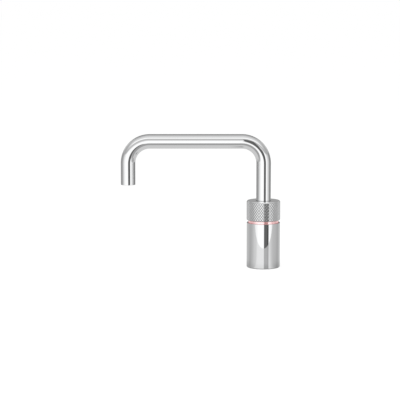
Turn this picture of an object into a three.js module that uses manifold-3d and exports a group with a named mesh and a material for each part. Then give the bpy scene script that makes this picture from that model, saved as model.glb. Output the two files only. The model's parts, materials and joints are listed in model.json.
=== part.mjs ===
// Boiling water tap: a square-necked swivel spout on a round column, worked by a knurled ring knob
// that is pressed down and turned. Millimetres, +Z up. The origin is the centre of the column's base,
// on the worktop, and the spout points along -X.

import * as THREE from 'three';
import { mergeVertices } from 'three/addons/utils/BufferGeometryUtils.js';
import Module from 'manifold-3d';

const wasm = await Module();
wasm.setup();

// ---------------------------------------------------------------- driving dimensions

const clearance = 0.3; // between any two pieces that seat, slide or turn on each other

// column
const bodyDiameter = 46;
const bodyHeight = 62.5;
const baseChamfer = 0.8;
const rimChamfer = 0.3;
const ledgeWidth = 3.5;
const ledgeThickness = 2;

// base plate
const basePlateHeight = 9;
const bossDiameter = 18;
const inletSocketDiameter = 10.2;
const inletSocketDepth = 8;
const inletBoreDiameter = 7;
const studDiameter = 6.8;
const studDepth = 7;
const studInset = 8.5;
const gasketWidth = 2.2;
const gasketThickness = 1.2;
const gasketInset = 0.8;
const screwCount = 3;
const screwInset = 7.2;
const screwDiameter = 3;
const screwHeadDiameter = 5.5;
const screwHeadHeight = 3;
const screwHeadInset = 0.6;
const screwGrip = 6;

// light lead and its socket
const leadDiameter = 1.6;
const leadAngle = THREE.MathUtils.degToRad(210);
const leadPortInset = 8.5;
const leadTurnRise = 3;
const leadSocketWidth = 6.4;
const leadSocketDepth = 4.4;
const leadSocketHeight = 6;
const leadSocketWall = 0.8;
const leadSocketRecess = 3.5;

// ceramic disc valve
const valveFlangeHeight = 3.4;
const discThickness = 3.6;
const discSealThickness = 1;
const portHalfAngle = THREE.MathUtils.degToRad(30);
const galleryDepth = 5;
const inletRise = 4.4;
const drillingDiameter = 3.2;
const discKeyHalfAngle = THREE.MathUtils.degToRad(9);
const discKeyDepth = 0.8;
const chamberHeight = 4.7;
const capPlugHeight = 4.5;
const capFlangeThickness = 2.5;

// stem, the fixed tube through the middle of the valve
const stemDiameter = 17;
const stemBoreDiameter = 10.4;
const stemThreadDiameter = 14;
const stemThreadLength = 6;
const flowGrooveDepth = 1.1;
const crossHoleDiameter = 3.2;
const collarFloorThickness = 4.2;

// round seals
const sealSection = 1.2;

// drive sleeve between the knob and the moving disc
const webThickness = 2.5;
const dogDepth = 1.7;
const dogHalfAngle = THREE.MathUtils.degToRad(18);
const turnAngle = THREE.MathUtils.degToRad(90);
const stopHeight = 3;
const stopLugHalfAngle = THREE.MathUtils.degToRad(12);
const stopPostAngle = THREE.MathUtils.degToRad(30);
const stopMargin = THREE.MathUtils.degToRad(2);

// light ring, its board and carrier
const lightGap = 3.5;
const lightOverlap = 1.8;
const lightDepth = 8;
const carrierThickness = 1.5;
const boardThickness = 1.4;
const ledCount = 8;
const ledLength = 2;
const ledWidth = 1.3;
const ledHeight = 0.9;

// knob
const knobOverhang = 0.25;
const knobHeight = 27;
const knobTopThickness = 2.2;
const knobHoleClearance = 0.4;
const knobTopRounding = 1.4;
const knobBottomChamfer = 0.7;
const knurlDepth = 0.45;
const knurlWidth = 3.75;
const knurlHeight = 4.5;
const pushTravel = 2.5;
const springWire = 1;
const springPitch = 2.2;
const springSeatRise = 1.5;
const springSeatThickness = 1.5;
const keyCount = 4;
const keyWidth = 3;
const keyLength = 5.5;
const circlipThickness = 1;
const circlipDepth = 0.7;
const circlipHeight = 1.8;
const circlipInset = 0.7;
const magnetDiameter = 1.2;
const magnetLength = 3;

// spout
const tubeDiameter = 20;
const tubeWall = 1.2;
const bendRadius = 30;
const spoutReach = 187;
const spoutHeight = 175; // centre of the level run
const outletHeight = 115;
const bushFloorThickness = 1;
const lowerBushHeight = 5;
const upperBushHeight = 5;
const spigotStubLength = 15.6;
const spigotStubDiameter = 9.8;
const spigotSealPitch = 4;
const spigotTongue = 8;
const spigotHeadTop = 2.5;
const waterwayDiameter = 3.4;
const nippleDiameter = 5;
const nippleLength = 8;
const snapRingThickness = 1.4;
const snapRingDepth = 0.7;
const snapGrooveDepth = 1.2;
const snapRingGap = THREE.MathUtils.degToRad(40);
const hoseDiameter = 8.4;
const hoseBore = 5.6;
const spacerHubWall = 1.2;
const spacerLength = 4;
const spacerArmCount = 3;
const spacerArmHalfAngle = THREE.MathUtils.degToRad(14);

// outlet
const outletRecess = 0.6;
const outletCupWall = 1.6;
const outletLip = 0.8;
const outletLipHeight = 0.4;
const outletCupDepth = 4.7;
const outletWeb = 3;
const flowPlateThickness = 1;
const flowHoleDiameter = 1.1;
const flowHoleRings = 2;

// Walls across the column, as they are while the rings have ringRoomDrawn between the spout tube and
// the body's outside. In a wider or slimmer body they all grow or shrink by the same share.
const bodyWallDrawn = 2;
const lightHeadWallDrawn = 1.5;
const springSeatLipDrawn = 0.7;
const springPocketDrawn = 2.7;
const sleeveWallDrawn = 1.4;
const collarWallDrawn = 1.6;
const bushWallDrawn = 1.3;
const sleeveShoulderDrawn = 0.6;
const carrierWallDrawn = 1.2;
const driveWallDrawn = 2.7;
const valveWallDrawn = 2.5;
const portWidthDrawn = 3.5;

// facets
const outsideSides = 36;
const insideSides = 18;
const sealSides = 14;
const lightSides = 24;
const tubeSides = 24;
const tubeBoreSides = 14;
const hoseSides = 8;
const bendSteps = 6;

// ---------------------------------------------------------------- fitted radii

const bodyRadius = bodyDiameter / 2;
const tubeRadius = tubeDiameter / 2;

const ringRoomDrawn = bodyWallDrawn + lightHeadWallDrawn + springSeatLipDrawn + springPocketDrawn
  + sleeveWallDrawn + collarWallDrawn + bushWallDrawn;
const ringFits = 6; // clearances between those rings
const ringShare = (bodyRadius - tubeRadius - ringFits * clearance) / ringRoomDrawn;
const [bodyWall, springSeatLip, springPocket, sleeveWall, collarWall, bushWall] = [
  bodyWallDrawn, springSeatLipDrawn, springPocketDrawn, sleeveWallDrawn, collarWallDrawn, bushWallDrawn,
].map((wall) => wall * ringShare);
const [sleeveShoulder, carrierWall, driveWall, valveWall, portWidth] = [
  sleeveShoulderDrawn, carrierWallDrawn, driveWallDrawn, valveWallDrawn, portWidthDrawn,
].map((wall) => wall * ringShare);

const bodyBore = bodyRadius - bodyWall;
const ledgeBore = bodyBore - ledgeWidth;
const inBody = bodyBore - clearance; // whatever stands in the body's bore
const studRadius = bodyBore - studInset;
const screwCircleRadius = bodyBore - screwInset;
const leadPortRadius = bodyBore - leadPortInset;

const tubeBore = tubeRadius - tubeWall;
const inTube = tubeBore - clearance; // whatever stands in the spout tube's bore
const bushBore = tubeRadius + clearance;
const bushRadius = bushBore + bushWall;
const collarBore = bushRadius + clearance;
const collarRadius = collarBore + collarWall;
const sleeveBore = collarRadius + clearance;
const sleeveRadius = sleeveBore + sleeveWall;
const shoulderRadius = sleeveRadius + sleeveShoulder;

const stemRadius = stemDiameter / 2;
const stemBore = stemBoreDiameter / 2;
const onStem = stemRadius + clearance; // bore of whatever goes round the stem
const driveRadius = onStem + driveWall;
const capBore = driveRadius + clearance;

const leadRadius = bodyBore - clearance - leadDiameter / 2;
const valveRadius = leadRadius - leadDiameter / 2 - clearance;
const discSeatRadius = valveRadius - valveWall;
const discRadius = discSeatRadius - clearance;
const portRadius = (onStem + discRadius) / 2;

const knobRadius = bodyRadius + knobOverhang;
const knobBore = knobRadius - bodyWall;
const linerRadius = knobBore - clearance;
const linerBore = sleeveRadius + clearance;
const linerPocketRadius = linerBore + springPocket;
const springRadius = (linerBore + linerPocketRadius) / 2;
const springSeatRadius = linerPocketRadius + springSeatLip;
const circlipRadius = sleeveRadius + circlipHeight;

const carrierBore = shoulderRadius + clearance;
const carrierRadius = carrierBore + carrierWall;
const boardBore = carrierRadius + clearance;
const lightHeadRadius = Math.min(bodyBore, knobBore) - clearance;
const lightHeadBore = springSeatRadius + clearance;

const sealGroove = sealSection + clearance; // depth of a seal's groove
const sealGrooveWidth = sealSection + 2 * clearance;

// ---------------------------------------------------------------- stacked heights

const ledgeFloor = basePlateHeight + clearance;
const ledgeTop = ledgeFloor + ledgeThickness;
const valveFloor = ledgeTop + clearance;

const carrierFloor = bodyHeight - lightDepth;
const capTop = carrierFloor - clearance;
const capFlangeFloor = capTop - capFlangeThickness;
const capFloor = capFlangeFloor - capPlugHeight;
const driveFloor = capFloor - chamberHeight;
const movingDiscFloor = driveFloor - clearance - discThickness;
const fixedDiscFloor = movingDiscFloor - clearance - discThickness;
const discSealFloor = fixedDiscFloor - clearance - discSealThickness;
const seatFloor = discSealFloor - clearance;
const valveRimTop = capFlangeFloor - clearance;

const boardFloor = carrierFloor + carrierThickness + clearance;
const lightFloor = boardFloor + boardThickness + ledHeight + clearance;

const webFloor = capTop + stopHeight + clearance;
const webTop = webFloor + webThickness;
const collarFloor = webTop + clearance;
const socketFloor = collarFloor + collarFloorThickness;

const knobFloor = bodyHeight + lightGap;
const knobCeiling = knobFloor + knobHeight - knobTopThickness;
const lightTop = knobFloor + lightOverlap;
const springSeatFloor = knobFloor + springSeatRise;
const springSeatTop = springSeatFloor + springSeatThickness;
const linerFloor = springSeatTop + clearance + pushTravel;
const linerTop = knobCeiling - clearance;
const sleeveTop = knobCeiling - pushTravel - clearance;
const circlipFloor = sleeveTop - circlipInset - circlipThickness;
const linerStep = circlipFloor - clearance;
const springCeiling = linerStep - keyLength;
const upperBushTop = sleeveTop;
const upperBushFlange = upperBushTop - bushFloorThickness;
const collarTop = upperBushFlange - clearance;

const lowerBushFloor = socketFloor + clearance;
const spigotHeadFloor = lowerBushFloor + bushFloorThickness + clearance;
const spigotFloor = spigotHeadFloor - spigotStubLength;
const snapRingFloor = lowerBushFloor + lowerBushHeight + 4 * clearance;
const snapGrooveFloor = snapRingFloor - clearance;
const snapGrooveTop = snapRingFloor + snapRingThickness + clearance;
const spigotShoulder = snapGrooveTop + spigotHeadTop;
const tubeFloor = spigotShoulder + clearance;
const spigotNippleFloor = spigotShoulder + spigotTongue;
const outletFloor = outletHeight + outletRecess;

// ---------------------------------------------------------------- finishes

const finish = {
  chrome: new THREE.MeshStandardMaterial({ color: 0xd8dadc, roughness: 0.06, metalness: 1 }),
  brass: new THREE.MeshStandardMaterial({ color: 0xc9a45a, roughness: 0.3, metalness: 1 }),
  steel: new THREE.MeshStandardMaterial({ color: 0xa9acaf, roughness: 0.3, metalness: 1 }),
  ceramic: new THREE.MeshStandardMaterial({ color: 0xf1eee6, roughness: 0.25, metalness: 0 }),
  bearing: new THREE.MeshStandardMaterial({ color: 0xe9e7e0, roughness: 0.5, metalness: 0 }),
  moulding: new THREE.MeshStandardMaterial({ color: 0x2b2c2e, roughness: 0.6, metalness: 0 }),
  rubber: new THREE.MeshStandardMaterial({ color: 0x17181a, roughness: 0.8, metalness: 0 }),
  silicone: new THREE.MeshStandardMaterial({ color: 0xd9dad6, roughness: 0.5, metalness: 0 }),
  board: new THREE.MeshStandardMaterial({ color: 0x1f5a3a, roughness: 0.5, metalness: 0 }),
  light: new THREE.MeshStandardMaterial({ color: 0xf2a9ab, roughness: 0.25, emissive: 0xc8484c }),
};

// ---------------------------------------------------------------- shaping helpers

function signedVolume(geometry) {
  const { position } = geometry.attributes;
  const corners = geometry.index.array;
  const [a, b, c] = [new THREE.Vector3(), new THREE.Vector3(), new THREE.Vector3()];
  let volume = 0;
  for (let i = 0; i < corners.length; i += 3) {
    a.fromBufferAttribute(position, corners[i]);
    b.fromBufferAttribute(position, corners[i + 1]);
    c.fromBufferAttribute(position, corners[i + 2]);
    volume += a.dot(b.cross(c)) / 6;
  }
  return volume;
}

// Shares the vertices of a closed surface, drops collapsed triangles and faces it outwards.
function closedBody(geometry) {
  geometry.deleteAttribute('normal');
  geometry.deleteAttribute('uv');
  const merged = mergeVertices(geometry, 1e-4);
  const triangles = [];
  for (let i = 0; i < merged.index.count; i += 3) {
    const [a, b, c] = [0, 1, 2].map((k) => merged.index.getX(i + k));
    if (a !== b && b !== c && c !== a) triangles.push([a, b, c]);
  }
  merged.setIndex(triangles.flat());
  if (signedVolume(merged) < 0) {
    merged.setIndex(triangles.flatMap(([a, b, c]) => [a, c, b]));
  }
  return merged;
}

// An outline of [radius, height] points turned about Z. It closes on itself unless it ends on the axis.
function turned(outline, sides = insideSides) {
  const points = outline.map(([radius, height]) => new THREE.Vector2(radius, height));
  if (outline.at(-1)[0] > 0) points.push(points[0].clone());
  const geometry = new THREE.LatheGeometry(points, sides);
  geometry.rotateX(Math.PI / 2);
  return closedBody(geometry);
}

function ringOutline(bore, radius, floor, top) {
  return [
    [bore, floor],
    [radius, floor],
    [radius, top],
    [bore, top],
  ];
}

function roundBar(radius, floor, top, sides = insideSides) {
  const geometry = new THREE.CylinderGeometry(radius, radius, top - floor, sides);
  geometry.rotateX(Math.PI / 2);
  geometry.translate(0, 0, (floor + top) / 2);
  return closedBody(geometry);
}

function block(width, depth, floor, top) {
  const geometry = new THREE.BoxGeometry(width, depth, top - floor);
  geometry.translate(0, 0, (floor + top) / 2);
  return closedBody(geometry);
}

function extruded(shape, floor, top, curveSegments = 4) {
  const geometry = new THREE.ExtrudeGeometry(shape, {
    depth: top - floor,
    bevelEnabled: false,
    curveSegments,
  });
  geometry.translate(0, 0, floor);
  return closedBody(geometry);
}

// A part of a ring, from one angle to another.
function sector(bore, radius, fromAngle, toAngle, floor, top, curveSegments = 3) {
  const shape = new THREE.Shape();
  shape.absarc(0, 0, radius, fromAngle, toAngle, false);
  shape.absarc(0, 0, bore, toAngle, fromAngle, true);
  shape.closePath();
  return extruded(shape, floor, top, curveSegments);
}

// A curved port with round ends, centred on an angle.
function kidney(angle, floor, top) {
  const from = angle - portHalfAngle;
  const to = angle + portHalfAngle;
  const half = portWidth / 2;
  const shape = new THREE.Shape();
  shape.absarc(0, 0, portRadius + half, from, to, false);
  shape.absarc(portRadius * Math.cos(to), portRadius * Math.sin(to), half, to, to + Math.PI, false);
  shape.absarc(0, 0, portRadius - half, to, from, true);
  shape.absarc(
    portRadius * Math.cos(from), portRadius * Math.sin(from), half, from + Math.PI, from + 2 * Math.PI, false,
  );
  return extruded(shape, floor, top, 2);
}

function turnedBy(geometry, angle) {
  return geometry.rotateZ(angle);
}

function movedTo(geometry, radius, angle) {
  return geometry.translate(radius * Math.cos(angle), radius * Math.sin(angle), 0);
}

// A round bar from one point to another, run on past both.
function barBetween(from, to, radius, overrun) {
  const along = new THREE.Vector3().subVectors(to, from);
  const length = along.length();
  const geometry = roundBar(radius, -overrun, length + overrun, 10);
  const turn = new THREE.Quaternion().setFromUnitVectors(new THREE.Vector3(0, 0, 1), along.normalize());
  geometry.applyQuaternion(turn);
  return geometry.translate(from.x, from.y, from.z);
}

function solidOf(geometry) {
  return new wasm.Manifold(new wasm.Mesh({
    numProp: 3,
    vertProperties: new Float32Array(geometry.attributes.position.array),
    triVerts: new Uint32Array(geometry.index.array),
  }));
}

function geometryOf(solid) {
  const mesh = solid.getMesh();
  const geometry = new THREE.BufferGeometry();
  geometry.setAttribute('position', new THREE.BufferAttribute(mesh.vertProperties, 3));
  geometry.setIndex(new THREE.BufferAttribute(mesh.triVerts, 1));
  return geometry;
}

function joined(base, ...others) {
  return geometryOf(others.reduce((solid, other) => solid.add(solidOf(other)), solidOf(base)));
}

function cut(base, ...tools) {
  return geometryOf(tools.reduce((solid, tool) => solid.subtract(solidOf(tool)), solidOf(base)));
}

function evenAngles(count, start = 0) {
  return Array.from({ length: count }, (_, i) => start + (i * 2 * Math.PI) / count);
}

function circlePoints(radius, sides, x = 0, y = 0) {
  return evenAngles(sides).map((angle) => new THREE.Vector2(
    x + radius * Math.cos(angle), y + radius * Math.sin(angle),
  ));
}

function piece(name, geometry, material, x = 0, y = 0, z = 0) {
  const mesh = new THREE.Mesh(geometry, material);
  mesh.name = name;
  mesh.position.set(x, y, z);
  return mesh;
}

function group(...children) {
  const together = new THREE.Group();
  together.add(...children);
  return together;
}

// A seal of round section, by the radius and height of its section's centre.
function roundSeal(name, radius, height, material = finish.rubber) {
  const outline = evenAngles(4).map((angle) => [
    radius + (sealSection / 2) * Math.cos(angle),
    (sealSection / 2) * Math.sin(angle),
  ]);
  return piece(name, turned(outline, sealSides), material, 0, 0, height);
}

// ---------------------------------------------------------------- routes

// A curve known at its stations, each a point with the direction there.
class StationRoute extends THREE.Curve {
  constructor(stations) {
    super();
    this.stations = stations;
  }

  stationAt(share) {
    return this.stations[Math.round(share * (this.stations.length - 1))];
  }

  getPointAt(share) {
    return this.stationAt(share).point.clone();
  }

  getTangentAt(share) {
    return this.stationAt(share).direction.clone();
  }
}

function station(x, y, z, alongX, alongY, alongZ) {
  return {
    point: new THREE.Vector3(x, y, z),
    direction: new THREE.Vector3(alongX, alongY, alongZ).normalize(),
  };
}

// Up from a height over the column, level towards -X, and down to a height over the sink.
function spoutRoute(fromHeight, toHeight) {
  const stations = [station(0, 0, fromHeight, 0, 0, 1)];
  const bendCentres = [-bendRadius, bendRadius - spoutReach];
  bendCentres.forEach((centre, bend) => {
    for (let step = 0; step <= bendSteps; step += 1) {
      const angle = ((bend + step / bendSteps) * Math.PI) / 2;
      const [cos, sin] = [Math.cos(angle), Math.sin(angle)];
      const height = spoutHeight - bendRadius;
      stations.push(station(centre + bendRadius * cos, 0, height + bendRadius * sin, -sin, 0, cos));
    }
  });
  stations.push(station(-spoutReach, 0, toHeight, 0, 0, -1));
  return new StationRoute(stations);
}

// A pipe, or a solid bar where the bore is 0, swept along a route.
function sweptPipe(radius, bore, route, sides, boreSides = 0) {
  const shape = new THREE.Shape(circlePoints(radius, sides));
  if (bore > 0) shape.holes.push(new THREE.Path(circlePoints(bore, boreSides)));
  return closedBody(new THREE.ExtrudeGeometry(shape, {
    steps: route.stations.length - 1,
    extrudePath: route,
  }));
}

// ---------------------------------------------------------------- column

function bodySleeve() {
  const outline = [
    [bodyBore, 0],
    [bodyRadius - baseChamfer, 0],
    [bodyRadius, baseChamfer],
    [bodyRadius, bodyHeight - rimChamfer],
    [bodyRadius - rimChamfer, bodyHeight],
    [bodyBore, bodyHeight],
    [bodyBore, ledgeTop],
    [ledgeBore, ledgeTop],
    [ledgeBore, ledgeFloor],
    [bodyBore, ledgeFloor],
  ];
  return piece('body_sleeve', turned(outline, outsideSides), finish.chrome);
}

const screwAngles = evenAngles(screwCount, Math.PI / 6);
const gasketRadius = inBody - gasketInset;
const inletSealRadius = inletSocketDiameter / 2 + clearance + sealGrooveWidth / 2;
const inletSealHeight = ledgeTop - sealGroove + clearance + sealSection / 2;

function basePlate() {
  const gasketBore = gasketRadius - gasketWidth - 2 * clearance;
  const gasketCeiling = gasketThickness + clearance;
  const grooveFloor = ledgeTop - sealGroove;
  const outline = [
    [inletSocketDiameter / 2, 0],
    [gasketBore, 0],
    [gasketBore, gasketCeiling],
    [gasketRadius, gasketCeiling],
    [gasketRadius, 0],
    [inBody, 0],
    [inBody, basePlateHeight],
    [bossDiameter / 2, basePlateHeight],
    [bossDiameter / 2, ledgeTop],
    [inletSealRadius + sealGrooveWidth / 2, ledgeTop],
    [inletSealRadius + sealGrooveWidth / 2, grooveFloor],
    [inletSealRadius - sealGrooveWidth / 2, grooveFloor],
    [inletSealRadius - sealGrooveWidth / 2, ledgeTop],
    [inletBoreDiameter / 2, ledgeTop],
    [inletBoreDiameter / 2, inletSocketDepth],
    [inletSocketDiameter / 2, inletSocketDepth],
  ];
  const headSeat = screwHeadInset + screwHeadHeight + clearance;
  const holes = screwAngles.flatMap((angle) => [
    movedTo(roundBar(screwDiameter / 2 + clearance, -1, basePlateHeight + 1, 8), screwCircleRadius, angle),
    movedTo(roundBar(screwHeadDiameter / 2 + clearance, -1, headSeat, 12), screwCircleRadius, angle),
  ]);
  const studSocket = movedTo(roundBar(studDiameter / 2, -1, studDepth, 14), studRadius, Math.PI / 2);
  const leadPort = block(
    leadSocketDepth + 2 * clearance, leadSocketWidth + 2 * clearance, -1, basePlateHeight + 1,
  ).translate(leadPortRadius, 0, 0);
  const plate = turned(outline);
  return piece('base_plate', cut(plate, ...holes, studSocket, turnedBy(leadPort, leadAngle)), finish.brass);
}

function baseGasket() {
  const outer = gasketRadius - clearance;
  const outline = ringOutline(outer - gasketWidth, outer, 0, gasketThickness);
  return piece('base_gasket', turned(outline), finish.rubber);
}

function baseScrews() {
  const length = screwHeadHeight + (valveFloor - screwHeadInset - screwHeadHeight) + screwGrip;
  const outline = [
    [0, 0],
    [screwHeadDiameter / 2, 0],
    [screwHeadDiameter / 2, screwHeadHeight],
    [screwDiameter / 2, screwHeadHeight],
    [screwDiameter / 2, length],
    [0, length],
  ];
  return screwAngles.map((angle, i) => piece(
    `base_screw_${i + 1}`, turned(outline, 8), finish.steel,
    screwCircleRadius * Math.cos(angle), screwCircleRadius * Math.sin(angle), screwHeadInset,
  ));
}

function inletSeal() {
  return roundSeal('inlet_seal', inletSealRadius, inletSealHeight);
}

const leadBend = (leadRadius - leadPortRadius) / 2;
const leadTurnHeight = valveFloor + leadTurnRise;

function discKeys(floor, top, margin, angleMargin) {
  return [Math.PI / 2, (3 * Math.PI) / 2].map((angle) => sector(
    discRadius - discKeyDepth - margin, discSeatRadius + 1,
    angle - discKeyHalfAngle - angleMargin, angle + discKeyHalfAngle + angleMargin, floor, top, 2,
  ));
}

function valveBody() {
  const seat = seatFloor - valveFloor;
  const rim = valveRimTop - valveFloor;
  const galleryFloor = seat - galleryDepth;
  const threadHole = stemThreadDiameter / 2 + clearance;
  const outline = [
    [0, inletRise],
    [inletBoreDiameter / 2, inletRise],
    [inletBoreDiameter / 2, 0],
    [inBody, 0],
    [inBody, valveFlangeHeight],
    [valveRadius, valveFlangeHeight],
    [valveRadius, rim],
    [discSeatRadius, rim],
    [discSeatRadius, seat],
    [portRadius + portWidth / 2, seat],
    [portRadius + portWidth / 2, galleryFloor],
    [portRadius - portWidth / 2, galleryFloor],
    [portRadius - portWidth / 2, seat],
    [threadHole, seat],
    [threadHole, seat - stemThreadLength],
    [0, seat - stemThreadLength],
  ];
  const keyTop = fixedDiscFloor + discThickness / 2 - valveFloor;
  const keyed = joined(turned(outline), ...discKeys(seat - 0.5, keyTop, 0, 0));
  const drillings = [1, -1].map((side) => barBetween(
    new THREE.Vector3(0, 0, inletRise - drillingDiameter / 2),
    new THREE.Vector3(side * portRadius, 0, galleryFloor),
    drillingDiameter / 2, 0.5,
  ));
  const screwHoles = screwAngles.map((angle) => movedTo(
    roundBar(screwDiameter / 2 + clearance, -1, screwGrip + clearance, 8), screwCircleRadius, angle,
  ));
  const channelInner = leadPortRadius - leadDiameter / 2 - clearance;
  const channelTop = leadTurnHeight + 2 * leadBend + leadDiameter - valveFloor;
  const channel = block(inBody + 1 - channelInner, leadDiameter + 2 * clearance, -1, channelTop)
    .translate((inBody + 1 + channelInner) / 2, 0, 0);
  const geometry = cut(keyed, ...drillings, ...screwHoles, turnedBy(channel, leadAngle));
  return piece('valve_body', geometry, finish.brass, 0, 0, valveFloor);
}

// A plate of the disc stack with its two ports, keyed to the valve body if it is fixed.
function discPlate(name, thickness, floor, portAngle, keyed, material) {
  const ports = [0, Math.PI].map((turn) => kidney(portAngle + turn, -1, thickness + 1));
  const notches = keyed ? discKeys(-1, thickness + 1, clearance, stopMargin) : dogNotches(thickness);
  const plate = turned(ringOutline(onStem, discRadius, 0, thickness));
  return piece(name, cut(plate, ...ports, ...notches), material, 0, 0, floor);
}

function dogNotches(thickness) {
  return [0, Math.PI].map((angle) => sector(
    onStem - 1, driveRadius + clearance,
    angle - dogHalfAngle - stopMargin, angle + dogHalfAngle + stopMargin,
    thickness - dogDepth, thickness + 1, 2,
  ));
}

function capSeal() {
  return roundSeal('cap_seal', driveRadius + clearance + sealSection / 2, capFloor + capPlugHeight / 2);
}

function valveCap() {
  const plug = discSeatRadius - clearance;
  const sealFloor = (capPlugHeight - sealGrooveWidth) / 2;
  const height = capPlugHeight + capFlangeThickness;
  const outline = [
    [capBore, 0],
    [plug, 0],
    [plug, capPlugHeight],
    [valveRadius, capPlugHeight],
    [valveRadius, height],
    [capBore, height],
    [capBore, sealFloor + sealGrooveWidth],
    [capBore + sealGroove, sealFloor + sealGrooveWidth],
    [capBore + sealGroove, sealFloor],
    [capBore, sealFloor],
  ];
  const posts = [
    -stopLugHalfAngle - stopMargin - stopPostAngle,
    turnAngle + stopLugHalfAngle + stopMargin,
  ].map((angle) => sector(
    capBore + clearance, shoulderRadius - clearance, angle, angle + stopPostAngle,
    height - 0.5, height + stopHeight, 2,
  ));
  return piece('valve_cap', joined(turned(outline), ...posts), finish.brass, 0, 0, capFloor);
}

const stemFloor = seatFloor - stemThreadLength + clearance;
const flowGrooveFloor = driveFloor + clearance;
const flowGrooveTop = capFloor - clearance;
const flowHeight = (flowGrooveFloor + flowGrooveTop) / 2;
const stemSealHeight = capTop - sealGrooveWidth / 2;

function crossHoles(radius, height, reach) {
  return [0, Math.PI / 2].map((angle) => turnedBy(
    roundBar(radius, -reach, reach, 8).rotateY(Math.PI / 2).translate(0, 0, height), angle,
  ));
}

function stem() {
  const up = (height) => height - stemFloor;
  const sealFloor = stemRadius - sealGroove;
  const outline = [
    [0, 0],
    [stemThreadDiameter / 2, 0],
    [stemThreadDiameter / 2, up(discSealFloor)],
    [stemRadius, up(discSealFloor)],
    [stemRadius, up(flowGrooveFloor)],
    [stemRadius - flowGrooveDepth, up(flowGrooveFloor)],
    [stemRadius - flowGrooveDepth, up(flowGrooveTop)],
    [stemRadius, up(flowGrooveTop)],
    [stemRadius, up(stemSealHeight - sealGrooveWidth / 2)],
    [sealFloor, up(stemSealHeight - sealGrooveWidth / 2)],
    [sealFloor, up(stemSealHeight + sealGrooveWidth / 2)],
    [stemRadius, up(stemSealHeight + sealGrooveWidth / 2)],
    [stemRadius, up(collarFloor)],
    [collarRadius, up(collarFloor)],
    [collarRadius, up(collarTop)],
    [collarBore, up(collarTop)],
    [collarBore, up(snapGrooveTop)],
    [collarBore + snapRingDepth, up(snapGrooveTop)],
    [collarBore + snapRingDepth, up(snapGrooveFloor)],
    [collarBore, up(snapGrooveFloor)],
    [collarBore, up(socketFloor)],
    [stemBore, up(socketFloor)],
    [stemBore, up(flowGrooveFloor)],
    [0, up(flowGrooveFloor)],
  ];
  const holes = crossHoles(crossHoleDiameter / 2, up(flowHeight), stemRadius + 1);
  return piece('stem', cut(turned(outline), ...holes), finish.brass, 0, 0, stemFloor);
}

function stemSeal() {
  return roundSeal('stem_seal', stemRadius - sealSection / 2, stemSealHeight);
}

function lowerBush() {
  const outline = [
    [stemBore, 0],
    [bushRadius, 0],
    [bushRadius, lowerBushHeight],
    [bushBore, lowerBushHeight],
    [bushBore, bushFloorThickness],
    [stemBore, bushFloorThickness],
  ];
  return piece('lower_bush', turned(outline), finish.bearing, 0, 0, lowerBushFloor);
}

function upperBush() {
  const outline = [
    [bushBore, 0],
    [bushRadius, 0],
    [bushRadius, upperBushHeight],
    [collarRadius, upperBushHeight],
    [collarRadius, upperBushHeight + bushFloorThickness],
    [bushBore, upperBushHeight + bushFloorThickness],
  ];
  return piece('upper_bush', turned(outline), finish.bearing, 0, 0, upperBushFlange - upperBushHeight);
}

function snapRing() {
  const geometry = sector(
    tubeRadius - snapGrooveDepth + clearance, collarBore + snapRingDepth - clearance,
    snapRingGap / 2, 2 * Math.PI - snapRingGap / 2, 0, snapRingThickness, 8,
  );
  return piece('snap_ring', geometry, finish.steel, 0, 0, snapRingFloor);
}

function lightCarrier() {
  const outline = [
    [carrierBore, 0],
    [inBody, 0],
    [inBody, carrierThickness],
    [carrierRadius, carrierThickness],
    [carrierRadius, lightDepth],
    [carrierBore, lightDepth],
  ];
  const leadHole = movedTo(
    roundBar(leadDiameter / 2 + clearance, -1, carrierThickness + 1, 10), leadRadius, leadAngle,
  );
  return piece('light_carrier', cut(turned(outline), leadHole), finish.bearing, 0, 0, carrierFloor);
}

function ledBoard() {
  const ledRadius = (boardBore + inBody) / 2;
  const leds = evenAngles(ledCount, Math.PI / ledCount).map((angle) => turnedBy(
    block(ledWidth, ledLength, boardThickness - 0.2, boardThickness + ledHeight).translate(ledRadius, 0, 0),
    angle,
  ));
  const board = turned(ringOutline(boardBore, inBody, 0, boardThickness));
  return piece('led_board', joined(board, ...leds), finish.board, 0, 0, boardFloor);
}

function lightRing() {
  const step = bodyHeight - lightFloor;
  const top = lightTop - lightFloor;
  const outline = [
    [boardBore, 0],
    [inBody, 0],
    [inBody, step],
    [lightHeadRadius, step],
    [lightHeadRadius, top],
    [lightHeadBore, top],
    [lightHeadBore, step],
    [boardBore, step],
  ];
  return piece('light_ring', turned(outline, lightSides), finish.light, 0, 0, lightFloor);
}

const leadSocketFloor = basePlateHeight - leadSocketHeight;

function lightLead() {
  const [cos, sin] = [Math.cos(leadAngle), Math.sin(leadAngle)];
  const at = (out, height, outwards, upwards) => station(
    out * cos, out * sin, height, outwards * cos, outwards * sin, upwards,
  );
  const middle = leadPortRadius + leadBend;
  const stations = [at(leadRadius, boardFloor - clearance, 0, -1)];
  const turns = [
    { height: leadTurnHeight + 2 * leadBend, start: 0, sweep: -1 },
    { height: leadTurnHeight, start: Math.PI / 2, sweep: 1 },
  ];
  for (const turn of turns) {
    for (let step = 0; step <= 4; step += 1) {
      const angle = turn.start + (turn.sweep * step * Math.PI) / 8;
      stations.push(at(
        middle + leadBend * Math.cos(angle), turn.height + leadBend * Math.sin(angle),
        -turn.sweep * Math.sin(angle), turn.sweep * Math.cos(angle),
      ));
    }
  }
  stations.push(at(leadPortRadius, basePlateHeight + clearance, 0, -1));
  return piece('light_lead', sweptPipe(leadDiameter / 2, 0, new StationRoute(stations), 8), finish.moulding);
}

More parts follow.
